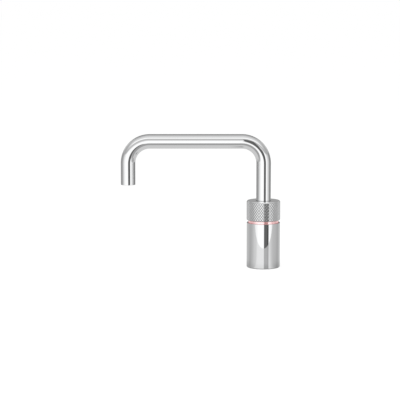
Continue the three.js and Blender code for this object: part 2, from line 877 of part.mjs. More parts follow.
function leadSocket() {
  const housing = block(leadSocketDepth, leadSocketWidth, 0, leadSocketHeight);
  const recess = block(
    leadSocketDepth - 2 * leadSocketWall, leadSocketWidth - 2 * leadSocketWall, -1, leadSocketRecess,
  );
  const geometry = turnedBy(cut(housing, recess), leadAngle);
  return piece(
    'lead_socket', geometry, finish.moulding,
    leadPortRadius * Math.cos(leadAngle), leadPortRadius * Math.sin(leadAngle), leadSocketFloor,
  );
}

// ---------------------------------------------------------------- drive

function driveSleeve() {
  const up = (height) => height - driveFloor;
  const grooveRadius = sleeveRadius - circlipDepth;
  const outline = [
    [onStem, 0],
    [driveRadius, 0],
    [driveRadius, up(webFloor)],
    [shoulderRadius, up(webFloor)],
    [shoulderRadius, up(springSeatFloor - clearance)],
    [sleeveRadius, up(springSeatFloor - clearance)],
    [sleeveRadius, up(circlipFloor - clearance)],
    [grooveRadius, up(circlipFloor - clearance)],
    [grooveRadius, up(circlipFloor + circlipThickness + clearance)],
    [sleeveRadius, up(circlipFloor + circlipThickness + clearance)],
    [sleeveRadius, up(sleeveTop)],
    [sleeveBore, up(sleeveTop)],
    [sleeveBore, up(webTop)],
    [onStem, up(webTop)],
  ];
  const dogs = [0, Math.PI].map((angle) => sector(
    onStem + clearance / 2, driveRadius - clearance / 2, angle - dogHalfAngle, angle + dogHalfAngle,
    -dogDepth, 0.5, 2,
  ));
  const lug = sector(
    capBore + clearance, shoulderRadius - clearance, -stopLugHalfAngle, stopLugHalfAngle,
    up(webFloor - stopHeight), up(webFloor) + 0.5, 2,
  );
  const slotFloor = springCeiling - pushTravel - clearance;
  const slots = evenAngles(keyCount).map((angle) => turnedBy(
    block(sleeveRadius + 1, keyWidth + 2 * clearance, up(slotFloor), up(sleeveTop) + 1)
      .translate((sleeveRadius + 1) / 2, 0, 0),
    angle,
  ));
  const windows = crossHoles(crossHoleDiameter / 2, up(flowHeight), driveRadius + 1);
  const geometry = cut(joined(turned(outline), ...dogs, lug), ...slots, ...windows);
  return piece('drive_sleeve', geometry, finish.brass, 0, 0, driveFloor);
}

function springSeat() {
  const outline = ringOutline(sleeveRadius + clearance, springSeatRadius, 0, springSeatThickness);
  return piece('spring_seat', turned(outline), finish.steel, 0, 0, springSeatFloor);
}

function circlip() {
  const gap = THREE.MathUtils.degToRad(30);
  const geometry = sector(
    sleeveRadius - circlipDepth + clearance, circlipRadius, gap / 2, 2 * Math.PI - gap / 2,
    0, circlipThickness, 8,
  );
  return piece('circlip', geometry, finish.steel, 0, 0, circlipFloor);
}

function returnSpring() {
  const floor = springSeatTop + clearance;
  const rise = springCeiling - clearance - floor - springWire;
  const turns = rise / springPitch;
  const steps = Math.round(turns * 9);
  const stations = Array.from({ length: steps + 1 }, (_, i) => {
    const angle = (2 * Math.PI * turns * i) / steps;
    const [cos, sin] = [Math.cos(angle), Math.sin(angle)];
    return station(
      springRadius * cos, springRadius * sin, springWire / 2 + (rise * i) / steps,
      -springRadius * sin, springRadius * cos, springPitch / (2 * Math.PI),
    );
  });
  const geometry = sweptPipe(springWire / 2, 0, new StationRoute(stations), 5);
  return piece('return_spring', geometry, finish.steel, 0, 0, floor);
}

// ---------------------------------------------------------------- knob

// The knob's outside as one skin: a chamfered foot, a diamond knurled wall and a rounded top edge.
// In the knurl, columns and rows meet at points that are high and low by turns, and every cell is
// folded along the line between its two low points.
function knurledBlank() {
  const columns = 2 * Math.round((2 * Math.PI * knobRadius) / knurlWidth);
  const knurlTop = knobHeight - knobTopRounding;
  const knurlRise = knurlTop - knobBottomChamfer;
  const knurlRows = Math.round((2 * knurlRise) / knurlHeight);
  const valley = knobRadius - knurlDepth;
  const rings = [{ high: valley - knobBottomChamfer, low: valley - knobBottomChamfer, height: 0 }];
  for (let row = 0; row <= knurlRows; row += 1) {
    rings.push({ high: knobRadius, low: valley, height: knobBottomChamfer + (knurlRise * row) / knurlRows });
  }
  for (const angle of [Math.PI / 4, Math.PI / 2]) {
    const radius = valley - knobTopRounding * (1 - Math.cos(angle));
    rings.push({ high: radius, low: radius, height: knurlTop + knobTopRounding * Math.sin(angle) });
  }
  const corners = rings.flatMap(({ high, low, height }, row) => (
    evenAngles(columns).flatMap((angle, column) => {
      const reach = (row + column) % 2 === 0 ? high : low;
      return [reach * Math.cos(angle), reach * Math.sin(angle), height];
    })
  ));
  corners.push(0, 0, 0, 0, 0, knobHeight);
  const at = (row, column) => row * columns + (column % columns);
  const [floorCentre, topCentre] = [rings.length * columns, rings.length * columns + 1];
  const triangles = [];
  for (let column = 0; column < columns; column += 1) {
    for (let row = 0; row < rings.length - 1; row += 1) {
      const [a, b] = [at(row, column), at(row, column + 1)];
      const [c, d] = [at(row + 1, column + 1), at(row + 1, column)];
      if ((row + column) % 2 === 0) triangles.push(a, b, d, b, c, d);
      else triangles.push(a, b, c, a, c, d);
    }
    triangles.push(floorCentre, at(0, column + 1), at(0, column));
    triangles.push(topCentre, at(rings.length - 1, column), at(rings.length - 1, column + 1));
  }
  const geometry = new THREE.BufferGeometry();
  geometry.setAttribute('position', new THREE.Float32BufferAttribute(corners, 3));
  geometry.setIndex(triangles);
  return closedBody(geometry);
}

function knob() {
  const bore = roundBar(knobBore, -1, knobCeiling - knobFloor, outsideSides);
  const hole = roundBar(tubeRadius + knobHoleClearance, 0, knobHeight + 1, tubeSides);
  return piece('knob', cut(knurledBlank(), bore, hole), finish.chrome, 0, 0, knobFloor);
}

const magnetRadius = (linerPocketRadius + linerRadius) / 2;

function knobLiner() {
  const up = (height) => height - linerFloor;
  const counterbore = circlipRadius + clearance;
  const outline = [
    [linerPocketRadius, 0],
    [linerRadius, 0],
    [linerRadius, up(linerTop)],
    [counterbore, up(linerTop)],
    [counterbore, up(linerStep)],
    [linerBore, up(linerStep)],
    [linerBore, up(springCeiling)],
    [linerPocketRadius, up(springCeiling)],
  ];
  const keyReach = linerBore + 0.5 - sleeveBore;
  const keys = evenAngles(keyCount).map((angle) => turnedBy(
    block(keyReach, keyWidth, up(springCeiling), up(linerStep)).translate(sleeveBore + keyReach / 2, 0, 0),
    angle,
  ));
  const magnetPocket = roundBar(magnetDiameter / 2 + clearance, -1, magnetLength + clearance, 10)
    .translate(0, -magnetRadius, 0);
  const geometry = cut(joined(turned(outline), ...keys), magnetPocket);
  return piece('knob_liner', geometry, finish.moulding, 0, 0, linerFloor);
}

function knobMagnet() {
  const geometry = roundBar(magnetDiameter / 2, 0, magnetLength, 10);
  return piece('knob_magnet', geometry, finish.steel, 0, -magnetRadius, linerFloor);
}

// ---------------------------------------------------------------- spout

function spoutTube() {
  const route = spoutRoute(tubeFloor, outletHeight);
  const geometry = sweptPipe(tubeRadius, tubeBore, route, tubeSides, tubeBoreSides);
  return piece('spout_tube', geometry, finish.chrome);
}

const spigotSealHeights = [1, 2].map((n) => spigotFloor + n * spigotSealPitch);

function spoutSpigot() {
  const up = (height) => height - spigotFloor;
  const stub = spigotStubDiameter / 2;
  const grooves = spigotSealHeights.flatMap((height) => [
    [stub, up(height) - sealGrooveWidth / 2],
    [stub - sealGroove, up(height) - sealGrooveWidth / 2],
    [stub - sealGroove, up(height) + sealGrooveWidth / 2],
    [stub, up(height) + sealGrooveWidth / 2],
  ]);
  const waterway = waterwayDiameter / 2;
  const nippleTop = up(spigotNippleFloor) + nippleLength;
  const outline = [
    [waterway, 0],
    [stub, 0],
    ...grooves,
    [stub, up(spigotHeadFloor)],
    [tubeRadius, up(spigotHeadFloor)],
    [tubeRadius, up(snapGrooveFloor)],
    [tubeRadius - snapGrooveDepth, up(snapGrooveFloor)],
    [tubeRadius - snapGrooveDepth, up(snapGrooveTop)],
    [tubeRadius, up(snapGrooveTop)],
    [tubeRadius, up(spigotShoulder)],
    [inTube, up(spigotShoulder)],
    [inTube, up(spigotNippleFloor)],
    [nippleDiameter / 2, up(spigotNippleFloor)],
    [nippleDiameter / 2, nippleTop],
    [waterway, nippleTop],
  ];
  return piece('spout_spigot', turned(outline, sealSides), finish.brass, 0, 0, spigotFloor);
}

function spigotSeals() {
  const radius = spigotStubDiameter / 2 - sealSection / 2;
  return spigotSealHeights.map((height, i) => roundSeal(`spigot_seal_${i + 1}`, radius, height));
}

const outletWebFloor = outletFloor + outletCupDepth;
const outletWebTop = outletWebFloor + outletWeb;

function innerHose() {
  const route = spoutRoute(spigotNippleFloor + clearance, outletWebTop + clearance);
  const geometry = sweptPipe(hoseDiameter / 2, hoseBore / 2, route, hoseSides, hoseSides);
  return piece('inner_hose', geometry, finish.silicone);
}

// Three-armed stars hold the hose in the middle of the tube, one on each straight of the spout.
function hoseSpacers() {
  const hub = hoseDiameter / 2 + clearance;
  const shape = new THREE.Shape();
  for (const angle of evenAngles(spacerArmCount)) {
    const next = angle + (2 * Math.PI) / spacerArmCount;
    shape.absarc(0, 0, inTube, angle - spacerArmHalfAngle, angle + spacerArmHalfAngle, false);
    shape.absarc(0, 0, hub + spacerHubWall, angle + spacerArmHalfAngle, next - spacerArmHalfAngle, false);
  }
  shape.closePath();
  shape.holes.push(new THREE.Path(circlePoints(hub, 9)));
  const bendFloor = spoutHeight - bendRadius;
  const riserMiddle = (collarTop + bendFloor) / 2;
  const dropMiddle = (outletWebTop + nippleLength + bendFloor) / 2;
  const places = [
    { x: 0, z: riserMiddle, tilt: 0 },
    { x: -spoutReach / 2, z: spoutHeight, tilt: Math.PI / 2 },
    { x: -spoutReach, z: dropMiddle, tilt: 0 },
  ];
  return places.map((place, i) => {
    const geometry = extruded(shape, -spacerLength / 2, spacerLength / 2, 1);
    const spacer = piece(`hose_spacer_${i + 1}`, geometry, finish.moulding, place.x, 0, place.z);
    spacer.rotation.y = place.tilt;
    return spacer;
  });
}

const outletSealHeight = outletWebFloor + outletWeb / 2;

function outletHousing() {
  const up = (height) => height - outletFloor;
  const cup = inTube - outletCupWall;
  const groove = tubeBore - clearance - sealGroove;
  const outline = [
    [cup - outletLip, 0],
    [inTube, 0],
    [inTube, up(outletSealHeight) - sealGrooveWidth / 2],
    [groove, up(outletSealHeight) - sealGrooveWidth / 2],
    [groove, up(outletSealHeight) + sealGrooveWidth / 2],
    [inTube, up(outletSealHeight) + sealGrooveWidth / 2],
    [inTube, up(outletWebTop)],
    [nippleDiameter / 2, up(outletWebTop)],
    [nippleDiameter / 2, up(outletWebTop) + nippleLength],
    [waterwayDiameter / 2, up(outletWebTop) + nippleLength],
    [waterwayDiameter / 2, up(outletWebFloor)],
    [cup, up(outletWebFloor)],
    [cup, outletLipHeight],
    [cup - outletLip, outletLipHeight],
  ];
  return piece('outlet_housing', turned(outline, sealSides), finish.moulding, -spoutReach, 0, outletFloor);
}

function outletSeal() {
  const seal = roundSeal('outlet_seal', tubeBore - clearance - sealSection / 2, outletSealHeight);
  seal.position.x = -spoutReach;
  return seal;
}

function flowPlate() {
  const radius = inTube - outletCupWall - clearance;
  const shape = new THREE.Shape(circlePoints(radius, sealSides));
  const ringPitch = radius / (flowHoleRings + 0.5);
  for (let ring = 0; ring <= flowHoleRings; ring += 1) {
    const out = ring * ringPitch;
    for (const angle of evenAngles(Math.max(1, 6 * ring))) {
      const outline = circlePoints(flowHoleDiameter / 2, 5, out * Math.cos(angle), out * Math.sin(angle));
      shape.holes.push(new THREE.Path(outline));
    }
  }
  const geometry = extruded(shape, 0, flowPlateThickness);
  return piece('flow_plate', geometry, finish.steel, -spoutReach, 0, outletFloor + outletLipHeight + clearance);
}

// ---------------------------------------------------------------- assembly

const column = group(
  bodySleeve(),
  basePlate(),
  baseGasket(),
  ...baseScrews(),
  inletSeal(),
  valveBody(),
  discPlate('disc_seal', discSealThickness, discSealFloor, 0, true, finish.silicone),
  discPlate('fixed_disc', discThickness, fixedDiscFloor, 0, true, finish.ceramic),
  valveCap(),
  capSeal(),
  stem(),
  stemSeal(),
  lowerBush(),
  upperBush(),
  snapRing(),
  lightCarrier(),
  ledBoard(),
  lightRing(),
  lightLead(),
  leadSocket(),
);

const drive = group(
  discPlate('moving_disc', discThickness, movingDiscFloor, turnAngle, false, finish.ceramic),
  driveSleeve(),
  springSeat(),
  circlip(),
  returnSpring(),
);

const pressedKnob = group(knob(), knobLiner(), knobMagnet());

const spout = group(
  spoutTube(),
  spoutSpigot(),
  ...spigotSeals(),
  innerHose(),
  ...hoseSpacers(),
  outletHousing(),
  outletSeal(),
  flowPlate(),
);

const tap = group(column, drive, pressedKnob, spout);
tap.name = 'boiling_water_tap';

export default tap;
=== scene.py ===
"""Looks of a boiling water tap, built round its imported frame.

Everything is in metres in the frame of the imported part: +Z up the column, the
spout along -X, the front at -Y. Sizes written here in millimetres go through MM.
"""

import json
import logging
import math
from collections.abc import Sequence
from dataclasses import dataclass
from enum import Enum

import bmesh
import bpy
from mathutils import Euler, Matrix, Vector

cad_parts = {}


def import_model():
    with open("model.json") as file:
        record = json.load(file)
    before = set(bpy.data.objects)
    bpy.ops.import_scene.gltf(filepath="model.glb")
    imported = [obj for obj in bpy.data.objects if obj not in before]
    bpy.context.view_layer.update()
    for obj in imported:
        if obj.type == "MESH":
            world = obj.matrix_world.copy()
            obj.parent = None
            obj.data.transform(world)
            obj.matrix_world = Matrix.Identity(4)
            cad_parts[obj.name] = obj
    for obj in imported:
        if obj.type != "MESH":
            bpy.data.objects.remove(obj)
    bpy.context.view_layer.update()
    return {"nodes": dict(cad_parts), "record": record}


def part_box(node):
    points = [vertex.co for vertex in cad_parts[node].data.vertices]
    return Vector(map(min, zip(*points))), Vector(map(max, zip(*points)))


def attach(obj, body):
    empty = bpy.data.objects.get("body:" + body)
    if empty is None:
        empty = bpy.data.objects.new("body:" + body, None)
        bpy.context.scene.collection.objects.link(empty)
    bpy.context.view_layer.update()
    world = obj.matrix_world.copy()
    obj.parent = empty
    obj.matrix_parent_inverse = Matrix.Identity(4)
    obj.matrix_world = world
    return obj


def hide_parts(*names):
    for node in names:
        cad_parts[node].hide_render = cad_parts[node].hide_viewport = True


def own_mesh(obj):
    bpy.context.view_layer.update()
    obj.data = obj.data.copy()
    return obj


LOG = logging.getLogger("tap")
MM = 0.001
FULL_TURN = 2 * math.pi
QUARTER_TURN = math.pi / 2
SLACK = 0.02  # millimetres by which two lengths may differ and count as one
SAME_POINT = 1e-7  # metres under which two corners are merged
SHARP_ANGLE = math.radians(32.0)

PANEL_WHITE = 1.08  # brightness of the white panels that chrome shows

Triple = tuple[float, float, float]
Colour = tuple[float, float, float]
Point = tuple[float, float]
Span = tuple[float, float]
Stops = Sequence[tuple[float, float]]
Corner = bmesh.types.BMVert
Edge = bmesh.types.BMEdge
Face = bmesh.types.BMFace

WHITE: Colour = (1.0, 1.0, 1.0)
ORIGIN: Point = (0.0, 0.0)


class Body(Enum):
    """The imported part's moving bodies."""

    COLUMN = "column"
    DRIVE = "drive"
    KNOB = "knob"
    SPOUT = "spout"


class Slot(Enum):
    """The record's material slots."""

    CHROME = "polished_chrome"
    BRASS = "brass"
    STEEL = "plain_steel"
    CERAMIC = "ceramic"
    BEARING = "bearing_plastic"
    MOULDING = "black_moulding"
    RUBBER = "black_rubber"
    SILICONE = "silicone"
    BOARD = "circuit_board"
    LIT = "lit_ring"


def grey(level: float) -> Colour:
    """The grey of a level."""
    return (level, level, level)


def scaled(colour: Colour, share: float) -> Colour:
    """A colour times a share."""
    return tuple(part * share for part in colour)


# ------------ shader graphs


class Value:
    """One output socket of a shader graph, with Python's operators as its maths."""

    def __init__(self, graph: "Graph", socket: bpy.types.NodeSocket) -> None:
        """Keeps the socket and the graph that new nodes go into."""
        self.graph = graph
        self.socket = socket

    def _maths(self, operation: str, *terms: "float | Value") -> "Value":
        """A Math node's output, given its operation and operands."""
        return self.graph.node("ShaderNodeMath", dict(enumerate(terms)), {"operation": operation})

    def __add__(self, other: "float | Value") -> "Value":
        """Sum."""
        return self._maths("ADD", self, other)

    def __sub__(self, other: "float | Value") -> "Value":
        """Difference."""
        return self._maths("SUBTRACT", self, other)

    def __rsub__(self, other: float) -> "Value":
        """Difference from a number."""
        return self._maths("SUBTRACT", other, self)

    def __mul__(self, other: "float | Value") -> "Value":
        """Product."""
        return self._maths("MULTIPLY", self, other)

    def __truediv__(self, other: "float | Value") -> "Value":
        """Quotient."""
        return self._maths("DIVIDE", self, other)

    def __pow__(self, other: "float | Value") -> "Value":
        """Power."""
        return self._maths("POWER", self, other)

    def __neg__(self) -> "Value":
        """Opposite."""
        return self._maths("MULTIPLY", self, -1.0)

    def __abs__(self) -> "Value":
        """Size without the sign."""
        return self._maths("ABSOLUTE", self)

    def __lt__(self, other: "float | Value") -> "Value":
        """One where this is the smaller, else zero."""
        return self._maths("LESS_THAN", self, other)

    def __gt__(self, other: "float | Value") -> "Value":
        """One where this is the larger, else zero."""
        return self._maths("GREATER_THAN", self, other)

    def sine(self) -> "Value":
        """Sine."""
        return self._maths("SINE", self)

    def angle_from(self, other: "Value") -> "Value":
        """Angle whose tangent is this over the other, all the way round."""
        return self._maths("ARCTAN2", self, other)

    def length_with(self, other: "Value") -> "Value":
        """Length of the vector that has this and the other as its sides."""
        return (self * self + other * other) ** 0.5

    def at_least(self, other: "float | Value") -> "Value":
        """The larger of the two."""
        return self._maths("MAXIMUM", self, other)

    def eased(self, low: float, high: float) -> "Value":
        """Smooth step from zero at the low value to one at the high."""
        inputs = {"Value": self, 1: low, 2: high}
        return self.graph.node("ShaderNodeMapRange", inputs, {"interpolation_type": "SMOOTHSTEP"})

    def ramp(self, stops: Stops) -> "Value":
        """Grey by value, through pairs of a value from 0 to 1 and its grey."""
        return self.graph.node("ShaderNodeValToRGB", {0: self}, {"stops": stops})

    def output(self, name: str) -> "Value":
        """Another output of the same node."""
        return Value(self.graph, self.socket.node.outputs[name])


class Graph:
    """A node tree that is written as expressions."""

    def __init__(self, tree: bpy.types.NodeTree) -> None:
        """Empties the material's or world's node tree."""
        self.tree = tree
        tree.nodes.clear()

    def node(
        self,
        kind: str,
        inputs: dict[int | str, object] | None = None,
        settings: dict[str, object] | None = None,
    ) -> Value | None:
        """Makes a node.

        Args:
            kind: Its type.
            inputs: Values or links by socket name or number.
            settings: Its own properties, and under "stops" a ramp's stops.

        Returns:
            Its first output, if it has one.
        """
        made = self.tree.nodes.new(kind)
        for name, value in (settings or {}).items():
            if name == "stops":
                self._set_stops(made.color_ramp, value)
            else:
                setattr(made, name, value)
        for key, value in (inputs or {}).items():
            socket = made.inputs[key]
            if isinstance(value, Value):
                self.tree.links.new(value.socket, socket)
            elif isinstance(value, tuple) and socket.type == "RGBA":
                socket.default_value = (*value, 1.0)
            else:
                socket.default_value = value
        return Value(self, made.outputs[0]) if made.outputs else None

    @staticmethod
    def _set_stops(ramp: bpy.types.ColorRamp, stops: Stops) -> None:
        """Gives a ramp its stops.

        Args:
            ramp: The node's ramp.
            stops: Pairs of a place and a grey.
        """
        while len(ramp.elements) < len(stops):
            ramp.elements.new(1.0)
        for element, (place, level) in zip(ramp.elements, stops):
            element.position = place
            element.color = (*grey(level), 1.0)

    def axes(self, vector: Value) -> tuple[Value, Value, Value]:
        """A vector's three parts."""
        split = self.node("ShaderNodeSeparateXYZ", {0: vector})
        return split, split.output("Y"), split.output("Z")

    def place(self) -> Value:
        """Object coordinates."""
        return self.node("ShaderNodeTexCoord").output("Object")

    def noise(self, vector: Value, scale: float, detail: float = 2.0, roughness: float = 0.5) -> Value:
        """Noise about 0.5, by waves per metre, octaves and the fine octaves' weight."""
        inputs = {"Vector": vector, "Scale": scale, "Detail": detail, "Roughness": roughness}
        return self.node("ShaderNodeTexNoise", inputs)

    def stretched(self, vector: Value, scale: Triple) -> Value:
        """A vector scaled along its axes."""
        return self.node("ShaderNodeVectorMath", {0: vector, 1: scale}, {"operation": "MULTIPLY"})

    def blend(self, factor: Value, first: Colour | Value, second: Colour | Value) -> Value:
        """Two colours mixed, by the share of the second."""
        mix = self.node("ShaderNodeMix", {0: factor, 6: first, 7: second}, {"data_type": "RGBA"})
        return Value(self, mix.socket.node.outputs[2])

    def either(self, factor: Value | float, first: Value, second: Value) -> Value:
        """Two shaders mixed, by the share of the second."""
        return self.node("ShaderNodeMixShader", {0: factor, 1: first, 2: second})

    def bump(self, height: Value, distance: float, strength: float = 1.0) -> Value:
        """Normal bent by a height from 0 to 1, which stands for a distance in metres."""
        inputs = {"Height": height, "Distance": distance, "Strength": strength}
        return self.node("ShaderNodeBump", inputs)

    def surface(self, inputs: dict[str, object]) -> None:
        """Makes the principled shader with its inputs, and the material's output."""
        shader = self.node("ShaderNodeBsdfPrincipled", inputs)
        self.node("ShaderNodeOutputMaterial", {"Surface": shader})


# ------------ finishes


@dataclass(frozen=True)
class Finish:
    """A finish, which paints one material."""

    name: str
    colour: Colour

    def material(self) -> bpy.types.Material:
        """The painted material, made once.

        Returns:
            The material.
        """
        made = bpy.data.materials.get(self.name)
        if made is None:
            made = bpy.data.materials.new(self.name)
            made.use_nodes = True
            made.diffuse_color = (*self.colour, 1.0)
            self.paint(Graph(made.node_tree))
        return made

    def paint(self, graph: Graph) -> None:
        """Builds the material's nodes."""
        raise NotImplementedError


@dataclass(frozen=True)
class Chrome(Finish):
    """Polished chrome plate, with faint polishing marks and wipe marks."""

    roughness: float = 0.032
    least_roughness: float = 0.02
    marks_per_metre: float = 900.0
    mark_stretch: Triple = (1.0, 1.0, 0.05)
    mark_roughness: float = 0.03
    wipes_per_metre: float = 38.0
    wipe_roughness: float = 0.035
    wipe_share: float = 0.5
    wiped_from: Span = (0.5, 0.78)
    wiped: float = 0.975
    # share of the colour left where the mask is up: painted shade
    painted_shade_share: float = 0.3
    dull_roughness: float = 0.34

    def paint(self, graph: Graph) -> None:
        """Builds the material's nodes.

        Args:
            graph: The material's graph.
        """
        place = graph.place()
        marks = graph.noise(graph.stretched(place, self.mark_stretch), self.marks_per_metre)
        wipes = graph.noise(place, self.wipes_per_metre, detail=4.0, roughness=0.6)
        wipes = wipes.eased(*self.wiped_from)
        colour = graph.blend(wipes * self.wipe_share, self.colour, scaled(self.colour, self.wiped))
        roughness = (marks - 0.5) * self.mark_roughness + wipes * self.wipe_roughness
        dull_and_shaded = self.dullness_and_shade(graph, place)
        if dull_and_shaded is not None:
            # painted shade: the colour is darkened where the mask is up, and the plate is made rougher
            # there
            colour = graph.blend(dull_and_shaded, colour, scaled(self.colour, self.painted_shade_share))
            roughness = dull_and_shaded * self.dull_roughness + roughness
        graph.surface({
            "Base Color": colour,
            "Metallic": 1.0,
            "Roughness": (roughness + self.roughness).at_least(self.least_roughness),
        })

    def dullness_and_shade(self, graph: Graph, place: Value) -> Value | None:
        """From zero to one where the plate is rougher and darkened as painted shade, or nothing where
        all is polished.
        """
        return None


@dataclass(frozen=True)
class RimmedChrome(Chrome):
    """The casing's chrome, rougher and darkened as painted shade on the rim under the knob."""

    dull_and_shaded_heights: Span = (62.15, 62.35)
    share: float = 0.5

    def dullness_and_shade(self, graph: Graph, place: Value) -> Value:
        """Rougher, and darkened as painted shade, above a height."""
        low, high = self.dull_and_shaded_heights
        # painted shade on the rim, in the gap under the knob, with a rougher plate
        return graph.axes(place)[2].eased(low * MM, high * MM) * self.share


@dataclass(frozen=True)
class KnurledChrome(Chrome):
    """The knob's chrome, rougher down in the knurl's grooves and darkened there as painted shade."""

    groove_radius: float = 22.8
    polished_radius: float = 23.2
    knurl_floor: float = 66.42
    knurl_top: float = 91.98
    share: float = 0.85

    def dullness_and_shade(self, graph: Graph, place: Value) -> Value:
        """Rougher, and darkened as painted shade, by depth in the grooves.

        Args:
            graph: The material's graph.
            place: The object coordinates.

        Returns:
            Zero on the crests and outside the knurl, most at the bottom of the grooves.
        """
        x, y, z = graph.axes(place)
        # painted shade down in the grooves, with a rougher plate there
        depth = 1.0 - x.length_with(y).eased(self.groove_radius * MM, self.polished_radius * MM)
        knurled = (z > self.knurl_floor * MM) * (z < self.knurl_top * MM)
        return depth * knurled * self.share


@dataclass(frozen=True)
class TurnedMetal(Finish):
    """Metal turned on a lathe: fine rings on faces and walls, a little tarnish."""

    roughness: float = 0.28
    rings_per_metre: float = 5200.0
    tarnish: Colour = (0.35, 0.24, 0.1)
    wander: float = 3.0
    wander_per_metre: float = 300.0
    ring_depth: float = 0.00001
    ring_strength: float = 0.6
    ring_roughness: float = 0.08
    stains_per_metre: float = 120.0
    stained_from: Span = (0.52, 0.85)
    stain_share: float = 0.35
    stain_roughness: float = 0.12

    def paint(self, graph: Graph) -> None:
        """Builds the material's nodes.

        Args:
            graph: The material's graph.
        """
        place = graph.place()
        x, y, z = graph.axes(place)
        wander = graph.noise(place, self.wander_per_metre, detail=3.0) * self.wander
        rings = ((x.length_with(y) + z) * self.rings_per_metre + wander).sine() * 0.5 + 0.5
        stain = graph.noise(place, self.stains_per_metre, detail=4.0, roughness=0.65)
        stain = stain.eased(*self.stained_from)
        graph.surface({
            "Base Color": graph.blend(stain * self.stain_share, self.colour, self.tarnish),
            "Metallic": 1.0,
            "Roughness": rings * self.ring_roughness + stain * self.stain_roughness + self.roughness,
            "Normal": graph.bump(rings, self.ring_depth, self.ring_strength),
        })


@dataclass(frozen=True)
class Ground(Finish):
    """Ground ceramic with the faintest speckle."""

    roughness: float = 0.16
    specks_per_metre: float = 3200.0
    speck_roughness: float = 0.12
    speck_share: float = 0.2
    speck_shade: float = 0.88
    coat: float = 0.2

    def paint(self, graph: Graph) -> None:
        """Builds the material's nodes.

        Args:
            graph: The material's graph.
        """
        speckle = graph.noise(graph.place(), self.specks_per_metre)
        shade = scaled(self.colour, self.speck_shade)
        graph.surface({
            "Base Color": graph.blend(speckle * self.speck_share, self.colour, shade),
            "Roughness": speckle * self.speck_roughness + self.roughness,
            "Coat Weight": self.coat,
        })


@dataclass(frozen=True)
class Moulded(Finish):
    """Moulded plastic or rubber: a fine spark grain and slight flow marks."""

    roughness: float = 0.5
    grain_per_metre: float = 4200.0
    grain_depth: float = 0.00003
    clear: float = 0.0
    grain_roughness: float = 0.16
    flow_per_metre: float = 160.0
    flow_roughness: float = 0.08
    flow_share: float = 0.6
    flow_gain: float = 1.25
    flow_lift: float = 0.01

    def paint(self, graph: Graph) -> None:
        """Builds the material's nodes.

        Args:
            graph: The material's graph.
        """
        place = graph.place()
        grain = graph.noise(place, self.grain_per_metre)
        flow = graph.noise(place, self.flow_per_metre, detail=3.0)
        light = tuple(min(1.0, part * self.flow_gain + self.flow_lift) for part in self.colour)
        varied = grain * self.grain_roughness + flow * self.flow_roughness
        middle = (self.grain_roughness + self.flow_roughness) / 2
        graph.surface({
            "Base Color": graph.blend(flow * self.flow_share, self.colour, light),
            "Roughness": varied + self.roughness - middle,
            "Transmission Weight": self.clear,
            "Normal": graph.bump(grain, self.grain_depth),
        })


@dataclass(frozen=True)
class Printed(Finish):
    """A circuit board's green varnish with copper tracks under it."""

    copper: Colour = (0.18, 0.42, 0.2)
    copper_share: float = 0.7
    copper_height: float = 0.00003
    tracks_per_metre: float = 4200.0
    track_from: float = 0.35
    gaps_round: float = 8.0
    gap_to: float = -0.6
    roughness: float = 0.26
    flecks_per_metre: float = 2600.0
    fleck_roughness: float = 0.1

    def paint(self, graph: Graph) -> None:
        """Builds the material's nodes.

        Args:
            graph: The material's graph.
        """
        place = graph.place()
        x, y, _ = graph.axes(place)
        rings = (x.length_with(y) * self.tracks_per_metre).sine() > self.track_from
        tracks = rings * ((y.angle_from(x) * self.gaps_round).sine() > self.gap_to)
        fleck = graph.noise(place, self.flecks_per_metre)
        graph.surface({
            "Base Color": graph.blend(tracks * self.copper_share, self.colour, self.copper),
            "Roughness": fleck * self.fleck_roughness + self.roughness,
            "Normal": graph.bump(tracks, self.copper_height),
        })


@dataclass(frozen=True)
class Lit(Finish):
    """A frosted ring lit red from inside, palest over each lamp."""

    glow: Colour = (1.0, 0.05, 0.06)
    hot: Colour = (1.0, 0.16, 0.15)
    hot_from: Span = (0.2, 1.0)
    strength: float = 0.27
    lamps: float = 8.0
    lamp_share: float = 0.75
    metallic: float = 0.9
    roughness: float = 0.11
    frost_per_metre: float = 1500.0
    frost_roughness: float = 0.08

    def paint(self, graph: Graph) -> None:
        """Builds the material's nodes.

        Args:
            graph: The material's graph.
        """
        place = graph.place()
        x, y, _ = graph.axes(place)
        beat = (y.angle_from(x) * self.lamps).sine() * 0.5 + 0.5
        frost = graph.noise(place, self.frost_per_metre)
        heat = (beat * self.lamp_share + frost * (1.0 - self.lamp_share)).eased(*self.hot_from)
        graph.surface({
            "Base Color": self.colour,
            "Metallic": self.metallic,
            "Roughness": frost * self.frost_roughness + self.roughness,
            "Emission Color": graph.blend(heat, self.glow, self.hot),
            "Emission Strength": self.strength,
        })


PLATE: Colour = (0.925, 0.93, 0.935)
CHROME = Chrome("chrome_plate", PLATE)
CASING_CHROME = RimmedChrome("casing_chrome", PLATE)
KNURL_CHROME = KnurledChrome("knurled_chrome", PLATE)
STEEL = TurnedMetal("turned_steel", (0.62, 0.62, 0.63), 0.24, 6100.0, (0.4, 0.38, 0.36))
MOULDING = Moulded("black_moulding", (0.022, 0.022, 0.025))
RUBBER = Moulded("black_rubber", (0.012, 0.012, 0.012), 0.72, 5200.0, 0.00004)
LIT = Lit("lit_frost", (0.95, 0.88, 0.88))

